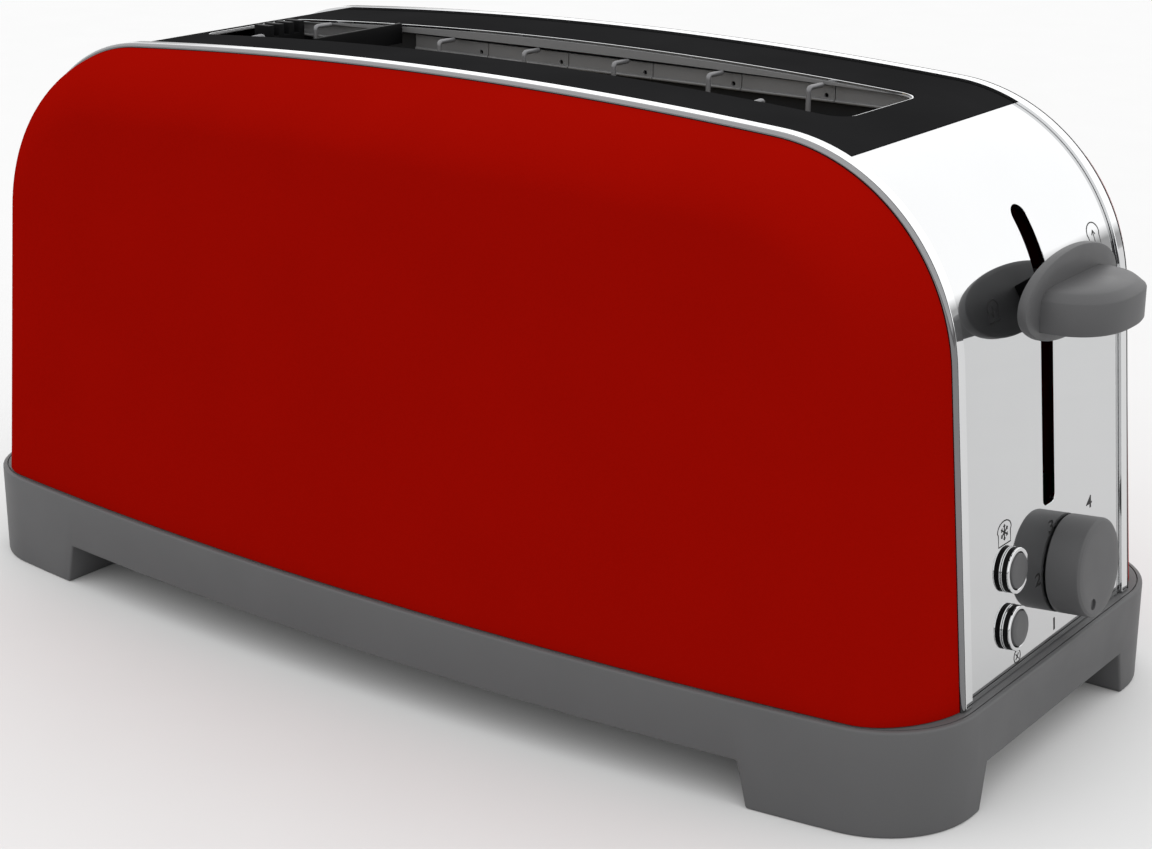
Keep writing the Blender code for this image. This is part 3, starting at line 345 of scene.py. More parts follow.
def run_at_x(x):
    """How far up the arch it reaches x, on the corner or the crown."""
    if x > CORNER.x + ARCH_CORNER * math.cos(CROWN_TURN):
        return SIDE_RUN + ARCH_CORNER * (math.acos((x - CORNER.x) / ARCH_CORNER) - END_LEAN)
    return SIDE_RUN + CORNER_RUN + CROWN_RADIUS * (math.acos(x / CROWN_RADIUS) - CROWN_TURN)


def run_at_height(z):
    if z < BASE_TOP + SIDE_RUN * math.cos(END_LEAN):
        return (z - BASE_TOP) / math.cos(END_LEAN)
    return SIDE_RUN + ARCH_CORNER * (math.asin((z - CORNER.y) / ARCH_CORNER) - END_LEAN)


def stations(start, stop, corner_steps=36, crown_steps=36, side_steps=6):
    """Distances up the arch, close together where it bends."""
    marks = [SIDE_RUN * i / side_steps for i in range(side_steps)]
    marks += [SIDE_RUN + CORNER_RUN * i / corner_steps for i in range(corner_steps)]
    flat = HALF_RUN - SIDE_RUN - CORNER_RUN
    marks += [SIDE_RUN + CORNER_RUN + flat * i / crown_steps for i in range(crown_steps)]
    marks += [HALF_RUN] + [2 * HALF_RUN - s for s in reversed(marks)]
    near = 0.2 * MM
    return [start] + [s for s in marks if start + near < s < stop - near] + [stop]


def swept(name, section, start, stop):
    """A section of (y, out) pairs swept along the arch."""
    return skin(name, [[on_band(s, y, out) for y, out in section] for s in stations(start, stop)])


def bent_panel(name, start, stop, cutters, edge=0.25 * MM):
    """A panel cut flat, with x as the distance up the arch, and bent round it."""
    half = PANEL_HALF_WIDTH
    marks = stations(start, stop)
    rings = [[(s, -half, -PANEL_SHEET), (s, half, -PANEL_SHEET), (s, half, 0), (s, -half, 0)] for s in marks]
    panel = carve(skin(name, rings), cutters) if cutters else skin(name, rings)
    bevel(panel, edge, 2)
    for vertex in panel.data.vertices:
        vertex.co = on_band(vertex.co.x, vertex.co.y, vertex.co.z - PANEL_INSET)
    return smooth(panel, 12)


# ---------------------------------------------------------------- materials


def node(tree, kind, **values):
    made = tree.nodes.new(kind)
    for key, value in values.items():
        if key in made.inputs:
            made.inputs[key].default_value = value
        else:
            setattr(made, key, value)
    return made


def noise(tree, scale, detail=3.0, stretch=(1, 1, 1)):
    """Noise in object coordinates, stretched for a grain."""
    coordinates = node(tree, "ShaderNodeTexCoord")
    mapping = node(tree, "ShaderNodeMapping")
    mapping.inputs["Scale"].default_value = stretch
    texture = node(tree, "ShaderNodeTexNoise", Scale=scale, Detail=detail)
    tree.links.new(coordinates.outputs["Object"], mapping.inputs["Vector"])
    tree.links.new(mapping.outputs["Vector"], texture.inputs["Vector"])
    return texture.outputs["Fac"]


def spread(tree, source, low, high):
    """Maps a noise value, which mostly lies between 0.3 and 0.7, to low ... high."""
    mapped = node(tree, "ShaderNodeMapRange")
    mapped.inputs["From Min"].default_value = 0.3
    mapped.inputs["From Max"].default_value = 0.7
    mapped.inputs["To Min"].default_value = low
    mapped.inputs["To Max"].default_value = high
    tree.links.new(source, mapped.inputs["Value"])
    return mapped.outputs["Result"]


def surface(name, colour, roughness, metallic=0.0, grain=400, relief=0.02, shift=0.04, rough_shift=0.05,
            stretch=(1, 1, 1), specular=0.5):
    """A procedural material: mottled colour, uneven roughness and a fine relief, all from noise."""
    made = bpy.data.materials.new(name)
    made.use_nodes = True
    made.diffuse_color = (*colour, 1)
    tree = made.node_tree
    shader = tree.nodes["Principled BSDF"]
    shader.inputs["Metallic"].default_value = metallic
    shader.inputs["Specular IOR Level"].default_value = specular
    mix = node(tree, "ShaderNodeMix", data_type="RGBA")
    # Sockets 6 and 7 are the two colours, and output 2 is the mixed colour.
    mix.inputs[6].default_value = (*[c * (1 - shift) for c in colour], 1)
    mix.inputs[7].default_value = (*[min(c * (1 + shift), 1) for c in colour], 1)
    tree.links.new(spread(tree, noise(tree, 25), 0, 1), mix.inputs["Factor"])
    tree.links.new(mix.outputs[2], shader.inputs["Base Color"])
    low, high = max(roughness - rough_shift, 0.01), roughness + rough_shift
    uneven = spread(tree, noise(tree, 60, 4, stretch), low, high)
    tree.links.new(uneven, shader.inputs["Roughness"])
    if relief:
        bump = node(tree, "ShaderNodeBump", Strength=relief, Distance=0.2 * MM)
        tree.links.new(noise(tree, grain, 2, stretch), bump.inputs["Height"])
        tree.links.new(bump.outputs["Normal"], shader.inputs["Normal"])
    return made


RED = surface("red_paint", (0.224, 0.0022, 0.0006), 0.38, grain=900, relief=0.006, shift=0.02, specular=0.0)
CHROME = surface("chrome", (0.585, 0.59, 0.595), 0.035, 1.0, grain=60, relief=0.003, shift=0.01,
                 rough_shift=0.015)
TRIM = surface("bright_trim", (0.66, 0.665, 0.67), 0.05, 1.0, grain=60, relief=0.002, shift=0.01,
               rough_shift=0.02)
GREY = surface("grey_plastic", (0.082, 0.082, 0.084), 0.5, grain=2600, relief=0.06, shift=0.04,
               specular=0.22)
DARK_GREY = surface("grey_plastic_dark", (0.070, 0.070, 0.072), 0.46, grain=2600, relief=0.05,
                    specular=0.22)
SATIN_BLACK = surface("satin_black", (0.0125, 0.0125, 0.013), 0.3, grain=1800, relief=0.02, shift=0.1,
                      specular=0.0)
BLACK = surface("black_plastic", (0.006, 0.006, 0.0063), 0.4, grain=2200, relief=0.04, shift=0.1,
                specular=0.02)
STEEL = surface("pressed_steel", (0.22, 0.22, 0.225), 0.42, 0.75, grain=700, relief=0.04,
                stretch=(0.15, 1, 1))
DULL_STEEL = surface("dull_steel", (0.08, 0.08, 0.082), 0.55, 0.35, grain=800, relief=0.05)
LINER = surface("slot_liner", (0.16, 0.16, 0.162), 0.5, 0.3, grain=500, relief=0.03, stretch=(0.2, 1, 1))
# Painted shade: a near black material for a sheet behind the liner, standing for the darkness deep in the slot.
SLOT_SHADE = surface("painted_slot_shade", (0.012, 0.012, 0.0125), 0.5, grain=500, relief=0.03, shift=0.1, specular=0.2)
WIRE = surface("guard_wire", (0.15, 0.15, 0.155), 0.4, 0.5, grain=900, relief=0.03)
# Painted shade: the trim's metal made much darker for the bead, standing for the dark reflections on the trim's
# rounded edge.
SHADED_BEAD = surface("trim_bead", (0.20, 0.20, 0.205), 0.1, 1.0, grain=60, relief=0.002, shift=0.02)
MICA = surface("mica_sheet", (0.42, 0.34, 0.21), 0.5, grain=160, relief=0.3, shift=0.25, stretch=(1, 1,
               0.4))
NICHROME = surface("nichrome", (0.20, 0.17, 0.15), 0.45, 0.9, grain=900, relief=0.1, shift=0.2)
COPPER = surface("copper_winding", (0.62, 0.24, 0.10), 0.3, 1.0, grain=80, relief=0.5, stretch=(0.1,
                 0.1, 18))
BOARD = surface("circuit_board", (0.012, 0.12, 0.045), 0.35, grain=500, relief=0.1, shift=0.2)
PRINT = surface("printed_ink", (0.012, 0.012, 0.012), 0.5, grain=900, relief=0.02, shift=0.1, specular=0.2)

CAD_LOOKS = {
    STEEL: ("bottom_plate", "base_screw_1", "base_screw_2", "base_screw_3", "base_screw_4",
            "control_end_plate", "rear_end_plate", "front_guide_rod", "rear_guide_rod", "lift_spring",
            "browning_potentiometer", "browning_shaft", "magnet_keeper", "bread_rack", "crumb_tray",
            "front_reflector"),
    DULL_STEEL: ("electromagnet_core",),
    MICA: ("front_heater_card", "rear_heater_card"),
    NICHROME: ("front_heating_element", "rear_heating_element"),
    COPPER: ("electromagnet_coil",),
    BOARD: ("control_board",),
    BLACK: ("carriage_slider", "defrost_switch", "cancel_switch"),
    GREY: ("terminal_block",),
}


def dress_cad_nodes():
    for material, names in CAD_LOOKS.items():
        for name in names:
            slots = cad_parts[name].data.materials
            slots.clear()
            slots.append(material)


# ---------------------------------------------------------------- base


def side_width(x):
    return HALF_WIDTH - SIDE_BOW * (x / HALF_LENGTH) ** 2


def plan(inset, steps=16, side_steps=16):
    """The base's bowed rectangle with round corners, drawn inward by inset."""
    radius = BASE_CORNER - inset
    centre_x = HALF_LENGTH - BASE_CORNER
    turn = math.pi / 2 - math.atan(2 * SIDE_BOW * centre_x / HALF_LENGTH**2)
    join_x = centre_x + BASE_CORNER * math.cos(turn)
    centre_y = side_width(join_x) - BASE_CORNER * math.sin(turn)
    corner = arc((centre_x, centre_y), radius, 0, turn, steps)
    reach = corner[-1][0]
    places = [reach * (1 - i / side_steps) for i in range(1, side_steps + 1)]
    quarter = corner + [(x, side_width(x) - inset) for x in places]
    half = quarter + [(-x, y) for x, y in reversed(quarter[:-1])]
    return half + [(x, -y) for x, y in reversed(half)]


def foot_gaps(spare=0.0):
    """Two crossing prisms that leave four feet standing. spare widens the prisms on each side."""
    overlap = 2 * MM
    low, over = -overlap, FOOT_TAPER * (1 + overlap / SKIRT_LOW)
    x = HALF_LENGTH - FOOT_LENGTH + spare
    y = side_width(HALF_LENGTH - BASE_CORNER) - (FOOT_WIDTH - FOOT_CORNER) + spare
    shapes = []
    for half, axis, reach in ((x, "Y", HALF_WIDTH), (y, "X", HALF_LENGTH)):
        outline = [(-half - over, low), (half + over, low), (half, SKIRT_LOW), (-half, SKIRT_LOW)]
        shapes.append(prism("foot_gap", outline, axis, -reach - 10 * overlap, reach + 10 * overlap))
    return shapes


def make_base():
    """One hollow moulding with a groove round its ledge, a well for the slot and a mouth for the tray."""
    base = carve(prism("base_moulding", plan(0), "Z", 0, BASE_TOP), foot_gaps())
    bevel(base, 0.8 * MM, 3)
    past = 1 * MM
    groove_out = prism("groove", plan(GROOVE_INSET), "Z", BASE_TOP - GROOVE_DEPTH, BASE_TOP + past)
    core = prism("groove_core", plan(GROOVE_INSET + GROOVE_WIDTH), "Z", 0, BASE_TOP + 2 * past)
    inside = prism("inside", plan(SKIRT_WALL), "Z", SKIRT_LOW, BASE_TOP - SKIRT_WALL)
    pocket = prism("pocket", plan(SKIRT_WALL), "Z", SKIRT_WALL, SKIRT_LOW + past)
    carve(pocket, foot_gaps(SKIRT_WALL))
    hole = block("well", (-WELL_X, -WELL_Y, BASE_TOP - SKIRT_WALL - 2 * past),
                 (WELL_X, WELL_Y, BASE_TOP + 2 * past))
    tray_low, tray_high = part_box("crumb_tray_handle")
    edge = 0.5 * MM
    mouth = block("mouth", (-HALF_LENGTH - 5 * past, tray_low.y - edge, SKIRT_LOW - 2 * past),
                  (-HALF_LENGTH + 2 * SKIRT_WALL, tray_high.y + edge, tray_high.z + edge))
    carve(base, [carve(groove_out, [core]), inside, pocket, hole, mouth])
    place(smooth(base), GREY, nodes=["base"])


def make_tray_handle():
    """A block with a round scoop for a finger."""
    low, high = local_box("crumb_tray_handle")
    handle = block("tray_grip", low, high)
    radius, depth = 9 * MM, 2.6 * MM
    scoop = arc((low.x + depth - radius, low.z), radius, -math.pi, math.pi, 48)[:-1]
    carve(handle, [prism("scoop", scoop, "Y", low.y / 2, high.y / 2)])
    bevel(handle, 0.5 * MM, 3)
    place(smooth(handle), GREY, "crumb_drawer", ["crumb_tray_handle"])


def make_gland():
    """A rubber bush with a flange, which lies along X."""
    low, high = local_box("cord_gland")
    length, outer = high.x - low.x, (high.y - low.y) / 2
    bore, neck, flange, soft = outer * 0.53, outer * 0.73, 1.5 * MM, 0.5 * MM
    profile = [(bore, 0), (bore + soft, 0), (outer - 2 * soft, 0), (outer - soft / 2, soft / 2)]
    profile += [(outer, 2 * soft), (outer, flange), (neck, flange), (neck, length), (bore, length), (bore, soft)]
    middle_y, middle_z = (low.y + high.y) / 2, (low.z + high.z) / 2
    rings = []
    for radius, height in profile + profile[:1]:
        rings.append([(low.x + height, middle_y + a, middle_z + b) for a, b in ring_of(radius, 48)])
    gland = weld(skin("cord_bush", rings, caps=False))
    place(smooth(gland), BLACK, nodes=["cord_gland"])


# ---------------------------------------------------------------- painted sides


def side_spot(x, z, turn):
    """A point on the front side. turn runs from ROLL_START at the trim to a right angle at the face."""
    join = TRIM_OUT + GAP
    depth = side_width(x) - SIDE_LEDGE - (z - BASE_TOP) * SIDE_LEAN
    share = (math.sin(turn) - math.sin(ROLL_START)) / (1 - math.sin(ROLL_START))
    return Vector((x, -(join + (depth - join) * share), z))


def side_rows(roll_steps=18, face_steps=22):
    """Rows of points over one side: first the roll from the trim to the face, then the face itself."""
    marks = stations(0, 2 * HALF_RUN, 30, 24, 12)
    rows = []
    for i in range(roll_steps + 1):
        turn = ROLL_START + (math.pi / 2 - ROLL_START) * i / roll_steps
        roll = SIDE_ROLL * (1 - math.cos(turn) / math.cos(ROLL_START))
        row = []
        for s in marks:
            share = min(max((min(s, 2 * HALF_RUN - s) - SIDE_RUN) / CORNER_RUN, 0), 1)
            inset = END_INSET + (SIDE_INSET - END_INSET) * share + roll
            spot = on_band(s, 0, -inset)
            row.append((spot.x, max(spot.z, BASE_TOP + GAP), turn))
        row[0] = (row[0][0], BASE_TOP + GAP, turn)
        row[-1] = (row[-1][0], BASE_TOP + GAP, turn)
        rows.append(row)
    edge = rows[-1]
    reach = edge[0][0] * FACE_FOOT_SHARE
    for k in range(1, face_steps + 1):
        share = k / face_steps
        row = []
        for i, (x, z, turn) in enumerate(edge):
            target = reach * (1 - 2 * i / (len(edge) - 1))
            row.append((x + (target - x) * share, z + (BASE_TOP + GAP - z) * share, turn))
        rows.append(row)
    return [[side_spot(*point) for point in row] for row in rows]


def make_sides():
    for name, side in (("front", 1), ("rear", -1)):
        bm = bmesh.new()
        grid = [[bm.verts.new((p.x, p.y * side, p.z)) for p in row] for row in side_rows()]
        for upper, lower in zip(grid, grid[1:]):
            for a, b, c, d in zip(upper, upper[1:], lower[1:], lower):
                bm.faces.new((a, b, c, d) if side > 0 else (d, c, b, a))
        mesh = bpy.data.meshes.new(name)
        bm.to_mesh(mesh)
        bm.free()
        shell = link(f"{name}_painted_side", mesh)
        solidify = shell.modifiers.new("sheet", "SOLIDIFY")
        solidify.thickness = SIDE_SHEET
        solidify.offset = -1
        apply_modifiers(shell)
        place(smooth(shell, 50), RED, nodes=[f"{name}_shell"])


# ---------------------------------------------------------------- bright band and top


def make_trims():
    """Each trim is a bright cap and a round bead, with a black strip between and below them. The bead is the
    cap's metal made much darker, and the strip lies in the gap: both are painted shade for the dark lines along
    the trim.
    """
    cap_depth, seam, bead_low, bead = 0.5 * MM, 0.5 * MM, 1.3 * MM, 1.1 * MM
    bead_in = TRIM_OUT - bead
    cap_out, leg = bead_in - seam, TRIM_IN + 0.8 * MM
    soft = 0.12 * MM
    cap = [(TRIM_IN, -TRIM_DEPTH), (leg, -TRIM_DEPTH), (leg, -cap_depth), (cap_out, -cap_depth)]
    cap += [(cap_out, -soft), (cap_out - soft, 0), (TRIM_IN + soft, 0), (TRIM_IN, -soft)]
    edge = [(bead_in, -bead_low), (TRIM_OUT, -bead_low)]
    edge += arc((bead_in, -bead), bead, 0, math.pi / 2, 6)
    # Painted shade: a black strip under the gap between cap and bead, and under the bead, standing for the shade
    # in the gap.
    inlay_out, inlay_in, low = TRIM_OUT + 0.1 * MM, bead_in + 0.05 * MM, -bead_low - 0.02 * MM
    inlay = [(leg + 0.1 * MM, -TRIM_DEPTH), (inlay_out, -TRIM_DEPTH), (inlay_out, low), (inlay_in, low)]
    inlay += [(inlay_in, -cap_depth + 0.05 * MM), (cap_out - 0.2 * MM, -cap_depth + 0.05 * MM)]
    inlay += [(cap_out - 0.2 * MM, -cap_depth - 0.05 * MM), (leg + 0.1 * MM, -cap_depth - 0.05 * MM)]
    for name, side in (("front", -1), ("rear", 1)):
        parts = (("bright_trim", cap, TRIM, "chrome", [f"{name}_trim"]),
                 ("trim_bead", edge, SHADED_BEAD, "chrome", []),
                 ("trim_painted_shade_strip", inlay, BLACK, "black_plastic", []))
        for label, section, material, slot, nodes in parts:
            strip = swept(f"{name}_{label}", [(side * y, out) for y, out in section], GAP, 2 * HALF_RUN - GAP)
            angle = 30 if label == "trim_bead" else 12
            place(smooth(strip, angle), material, nodes=nodes)


def flat_disc(name, s, y, radius, low=-3 * MM, high=3 * MM):
    return prism(name, ring_of(radius, 40, (s, y)), "Z", low, high)


SLOT_LOW_Z, SLOT_HIGH_Z = 76.4 * MM, 163.5 * MM
LEVER_SLOT_HALF = 4.0 * MM
LEVER_SLOT_FOOT, LEVER_SLOT_CROWN = 2.2 * MM, 3.9 * MM
LEVER_Y = (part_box("lever_arm")[0].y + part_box("lever_arm")[1].y) / 2


def lever_slot_outline():
    """The lever's slot, as (distance up the arch, across), with tighter corners at its foot."""
    low, high = run_at_height(SLOT_LOW_Z), run_at_height(SLOT_HIGH_Z)
    middle, half = (low + high) / 2, (high - low) / 2
    points = []
    foot, crown = LEVER_SLOT_FOOT, LEVER_SLOT_CROWN
    for i, (sx, sy, radius) in enumerate(((1, 1, crown), (-1, 1, foot), (-1, -1, foot), (1, -1, crown))):
        start = i * math.pi / 2
        centre = (middle + sx * (half - radius), LEVER_Y + sy * (LEVER_SLOT_HALF - radius))
        points += arc(centre, radius, start, start + math.pi / 2, 10)
    return points


def panel_spot(node_name):
    """(distance up the panel, across it) of a control whose axis is square to the panel."""
    low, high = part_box(node_name)
    centre = (low + high) / 2
    foot = Vector((ARCH_REACH - PANEL_INSET / math.cos(END_LEAN) + MIDDLE, BASE_TOP))
    along = Vector((-math.sin(END_LEAN), math.cos(END_LEAN)))
    return (Vector((centre.x, centre.z)) - foot).dot(along), centre.y


KNOB = panel_spot("browning_shaft")
DEFROST, CANCEL = panel_spot("defrost_bezel"), panel_spot("cancel_bezel")


SHAFT_HOLE, BUTTON_HOLE = 3.4 * MM, 5.6 * MM


def make_panels():
    """The control panel, the end panel and the black top, each bent over its part of the arch."""
    top_start = run_at_x(TOP_HALF)
    deep = 4 * MM
    cutters = [prism("lever_slot", lever_slot_outline(), "Z", -deep, deep)]
    cutters.append(flat_disc("knob_hole", *KNOB, SHAFT_HOLE))
    cutters += [flat_disc("button_hole", *spot, BUTTON_HOLE) for spot in (DEFROST, CANCEL)]
    control = bent_panel("control_face", GAP, top_start - GAP, cutters)
    place(control, CHROME, nodes=["control_panel"])
    end = bent_panel("end_face", 2 * HALF_RUN - top_start + GAP, 2 * HALF_RUN - GAP, [])
    place(end, CHROME, nodes=["end_panel"])
    half = SLOT_HALF + GAP
    hole = [(HALF_RUN + a, b) for a, b in rounded_box(half, SLOT_HALF_WIDTH + GAP, SLOT_CORNER, 10)]
    slot = prism("slot_hole", hole, "Z", -deep, deep)
    top = bent_panel("top_face", top_start, 2 * HALF_RUN - top_start, [slot])
    place(top, SATIN_BLACK, nodes=["top_panel"])


# ---------------------------------------------------------------- slot


def crown_height(x):
    return BODY_TOP - CROWN_RADIUS + math.sqrt(CROWN_RADIUS**2 - x * x)


def slot_loop(inset, steps=8, side_steps=40):
    """Points (x, y) round the slot, closely spaced along its sides so that they follow the crown."""
    corners = rounded_box(SLOT_HALF - inset, SLOT_HALF_WIDTH - inset, SLOT_CORNER - inset, steps)
    points = []
    for (x0, y0), (x1, y1) in zip(corners, corners[1:] + corners[:1]):
        pieces = side_steps if abs(x1 - x0) > 20 * MM else 1
        points += [(x0 + (x1 - x0) * i / pieces, y0 + (y1 - y0) * i / pieces) for i in range(pieces)]
    return points


def slot_band(name, section):
    """A ring round the slot. The section is a list of (inset, height as a function of x)."""
    rings = [[(x, y, height(x)) for x, y in slot_loop(inset)] for inset, height in section]
    return smooth(weld(skin(name, rings + rings[:1], caps=False), WELD / 2))


def below_crown(drop):
    return lambda x: crown_height(x) - PANEL_INSET - drop


COLLAR_DEPTH, COLLAR_DROP, COLLAR_DROP_X = 5 * MM, 1 * MM, 113 * MM


def collar_bottom(x):
    """The collar's lower edge, which falls away toward the slot's ends."""
    return BODY_TOP - COLLAR_DEPTH - COLLAR_DROP * (x / COLLAR_DROP_X) ** 2


def make_slot_edge():
    """A thin bright rim just below the top's face, and a grey collar below the rim."""
    wide, soft, top, bottom = 0.5 * MM, 0.12 * MM, 0.3 * MM, 1.1 * MM
    rim = slot_band("slot_edge", [
        (0, below_crown(bottom)), (0, below_crown(top + soft)), (soft, below_crown(top)),
        (wide - soft, below_crown(top)), (wide, below_crown(top + soft)), (wide, below_crown(bottom)),
    ])
    place(rim, CHROME, nodes=["slot_rim"])
    inner, wide = 0.3 * MM, 0.9 * MM
    collar = slot_band("slot_lining_band", [
        (inner, below_crown(bottom + 0.1 * MM)), (inner + wide, below_crown(bottom + 0.1 * MM)),
        (inner + wide, collar_bottom), (inner, collar_bottom),
    ])
    place(collar, LINER, nodes=["slot_collar"])


SEAM_FIRST_X, SEAM_PITCH, SEAMS = 97.3 * MM, 33.85 * MM, 5
HOLE_BEHIND_SEAM = 3.1 * MM
LINER_TOP, LINER_BOTTOM = 185.7 * MM, 181.0 * MM
LINER_Y, LINER_STEP = 24.4 * MM, 2.4 * MM
LINER_END = SLOT_HALF - 1.4 * MM
LINER_BREAK_X, LINER_RESUME_X = -70.4 * MM, -91 * MM  # where the divider interrupts the liner
LINER_HOLE, LINER_HOLE_RISE = 0.75 * MM, 1.5 * MM


def liner_panel(name, start, stop, side):
    """One length of slot liner: a flat face with a rolled lower edge."""
    roll, sheet, back = 0.55 * MM, 0.8 * MM, LINER_Y + LINER_STEP
    y = LINER_Y
    section = [(y + sheet, LINER_TOP), (y, LINER_TOP), (y, LINER_BOTTOM + roll)]
    section += arc((y - roll * 0.2, LINER_BOTTOM), roll, math.pi * 0.8, math.pi * 1.5, 6)
    section += [(back, LINER_BOTTOM - roll), (back, LINER_BOTTOM + roll), (y + sheet, LINER_BOTTOM + roll)]
    return skin(name, [[(x, side * a, b) for a, b in section] for x in (start, stop)])


def make_rear_liner():
    """Lengths of liner that meet at thin seams, most with a small hole, over a near black sheet set back, which
    is painted shade for the dark depth of the slot behind and below the liner.
    """
    marks = [LINER_END] + [SEAM_FIRST_X - i * SEAM_PITCH for i in range(SEAMS)] + [LINER_BREAK_X]
    seam = 0.16 * MM
    pieces = []
    for i, (stop, start) in enumerate(zip(marks, marks[1:])):
        piece = liner_panel(f"liner_{i}", start + seam, stop - seam, 1)
        if i:
            centre = (stop - HOLE_BEHIND_SEAM, LINER_BOTTOM + LINER_HOLE_RISE)
            outline = ring_of(LINER_HOLE, 16, centre)
            carve(piece, [prism("hole", outline, "Y", LINER_Y - 1 * MM, LINER_Y + 1.4 * MM)])
        pieces.append(piece)
    pieces.append(liner_panel("liner_far", -LINER_END, LINER_RESUME_X, 1))
    place(smooth(merged("rear_slot_liner", pieces)), LINER, nodes=["rear_reflector"])
    # Painted shade: a near black sheet set back behind the liner, in place of the shade deep inside the slot.
    back = LINER_Y + LINER_STEP + 0.05 * MM
    sheet = block("rear_slot_painted_shade_sheet", (-LINER_END, back, BASE_TOP + GAP),
                  (LINER_END, back + 0.8 * MM, LINER_TOP))
    place(smooth(sheet), SLOT_SHADE)


GUARD_X = [94.4 * MM - i * 36.25 * MM for i in range(5)] + [-107 * MM]
GUARD_WIRE, GUARD_RAIL = 0.8 * MM, 1.1 * MM
GUARD_TOP, GUARD_INNER_Y, GUARD_OUTER_Y = 186.4 * MM, 13.0 * MM, 21.0 * MM
GUARD_RAIL_Y, GUARD_RAIL_Z = 14.6 * MM, 146 * MM
GUARD_FOOT_Y = 15.5 * MM


def make_guards():
    """Each guard is a row of bent wires on two rails."""
    for name, side in (("front", -1), ("rear", 1)):
        low, high = local_box(f"{name}_guard")
        foot_z = low.z + 1.2 * MM
        wires = []
        for i, x in enumerate(GUARD_X):
            path = [(x, GUARD_OUTER_Y, GUARD_TOP - 0.2 * MM), (x, GUARD_INNER_Y + 0.2 * MM, GUARD_TOP),
                    (x, GUARD_INNER_Y, foot_z + 6 * MM), (x, GUARD_FOOT_Y, foot_z)]
            path = [(a, b * side, c) for a, b, c in rounded_path(path, 1.3 * MM)]
            wires.append(wire(f"guard_wire_{i}", path, GUARD_WIRE))
        for y, z in ((GUARD_RAIL_Y, GUARD_RAIL_Z), (GUARD_FOOT_Y, foot_z)):
            wires.append(wire("guard_rail", [(low.x, y * side, z), (high.x, y * side, z)], GUARD_RAIL))
        guard = merged(f"{name}_guard_wires", wires)
        place(smooth(guard), WIRE, f"{name}_bread_guard", [f"{name}_guard"])


DIVIDER_NECK, DIVIDER_HEAD = 14 * MM, 7 * MM


def make_divider():
    """A cross plate with a head as wide as the slot and a narrower neck below it."""
    low, high = local_box("slot_divider")
    neck, neck_z = DIVIDER_NECK, high.z - DIVIDER_HEAD
    right = [(neck, low.z), (neck, neck_z), (high.y, neck_z), (high.y, high.z)]
    outline = right + [(-y, z) for y, z in reversed(right)]
    plate = prism("cross_divider", outline, "X", low.x, high.x)
    bevel(plate, 0.3 * MM, 2)
    place(smooth(plate), BLACK, nodes=["slot_divider"])


COMB_LENGTH, COMB_TEETH, COMB_TOOTH, COMB_FOOT = 7 * MM, 4, 4 * MM, 4 * MM


def make_comb():
    """A toothed block on a foot that reaches back to the end plate."""
    low, high = local_box("end_comb")
    back, tooth_z, overlap = high.x - COMB_LENGTH, high.z - COMB_TOOTH, 1 * MM
    pitch = (high.y - low.y) / (2 * COMB_TEETH - 1)
    comb = block("comb", (back, low.y, low.z), (high.x, high.y, tooth_z))
    additions = [block("comb_foot", low, (back + overlap, high.y, low.z + COMB_FOOT))]
    for i in range(COMB_TEETH):
        y = low.y + 2 * i * pitch
        additions.append(block("tooth", (back, y, tooth_z - overlap), (high.x, y + pitch, high.z)))
    carve(comb, additions, "UNION")
    bevel(comb, 0.35 * MM, 2)
    place(smooth(comb), BLACK, nodes=["end_comb"])


# ---------------------------------------------------------------- lever


PADDLE_REACH, PADDLE_HALF, PADDLE_TALL = 18.6 * MM, 21.0 * MM, 6.1 * MM
PADDLE_POWER = 2.5  # of the superellipse: 2 is an ellipse, and more is squarer
PADDLE_ROOT = 1.5 * MM  # how far the paddle reaches into the flange


def lever_outline(shrink, steps=40):
    """The paddle's half rounded outline, (x, y) from the flange's face, shrunk toward its middle."""
    reach, half, power = PADDLE_REACH - shrink, PADDLE_HALF - shrink, 2 / PADDLE_POWER
    points = []
    for i in range(steps + 1):
        t = -math.pi / 2 + math.pi * i / steps
        x, y = math.cos(t), math.sin(t)
        points.append((max(x, 0) ** power * reach, math.copysign(abs(y) ** power, y) * half))
    return points


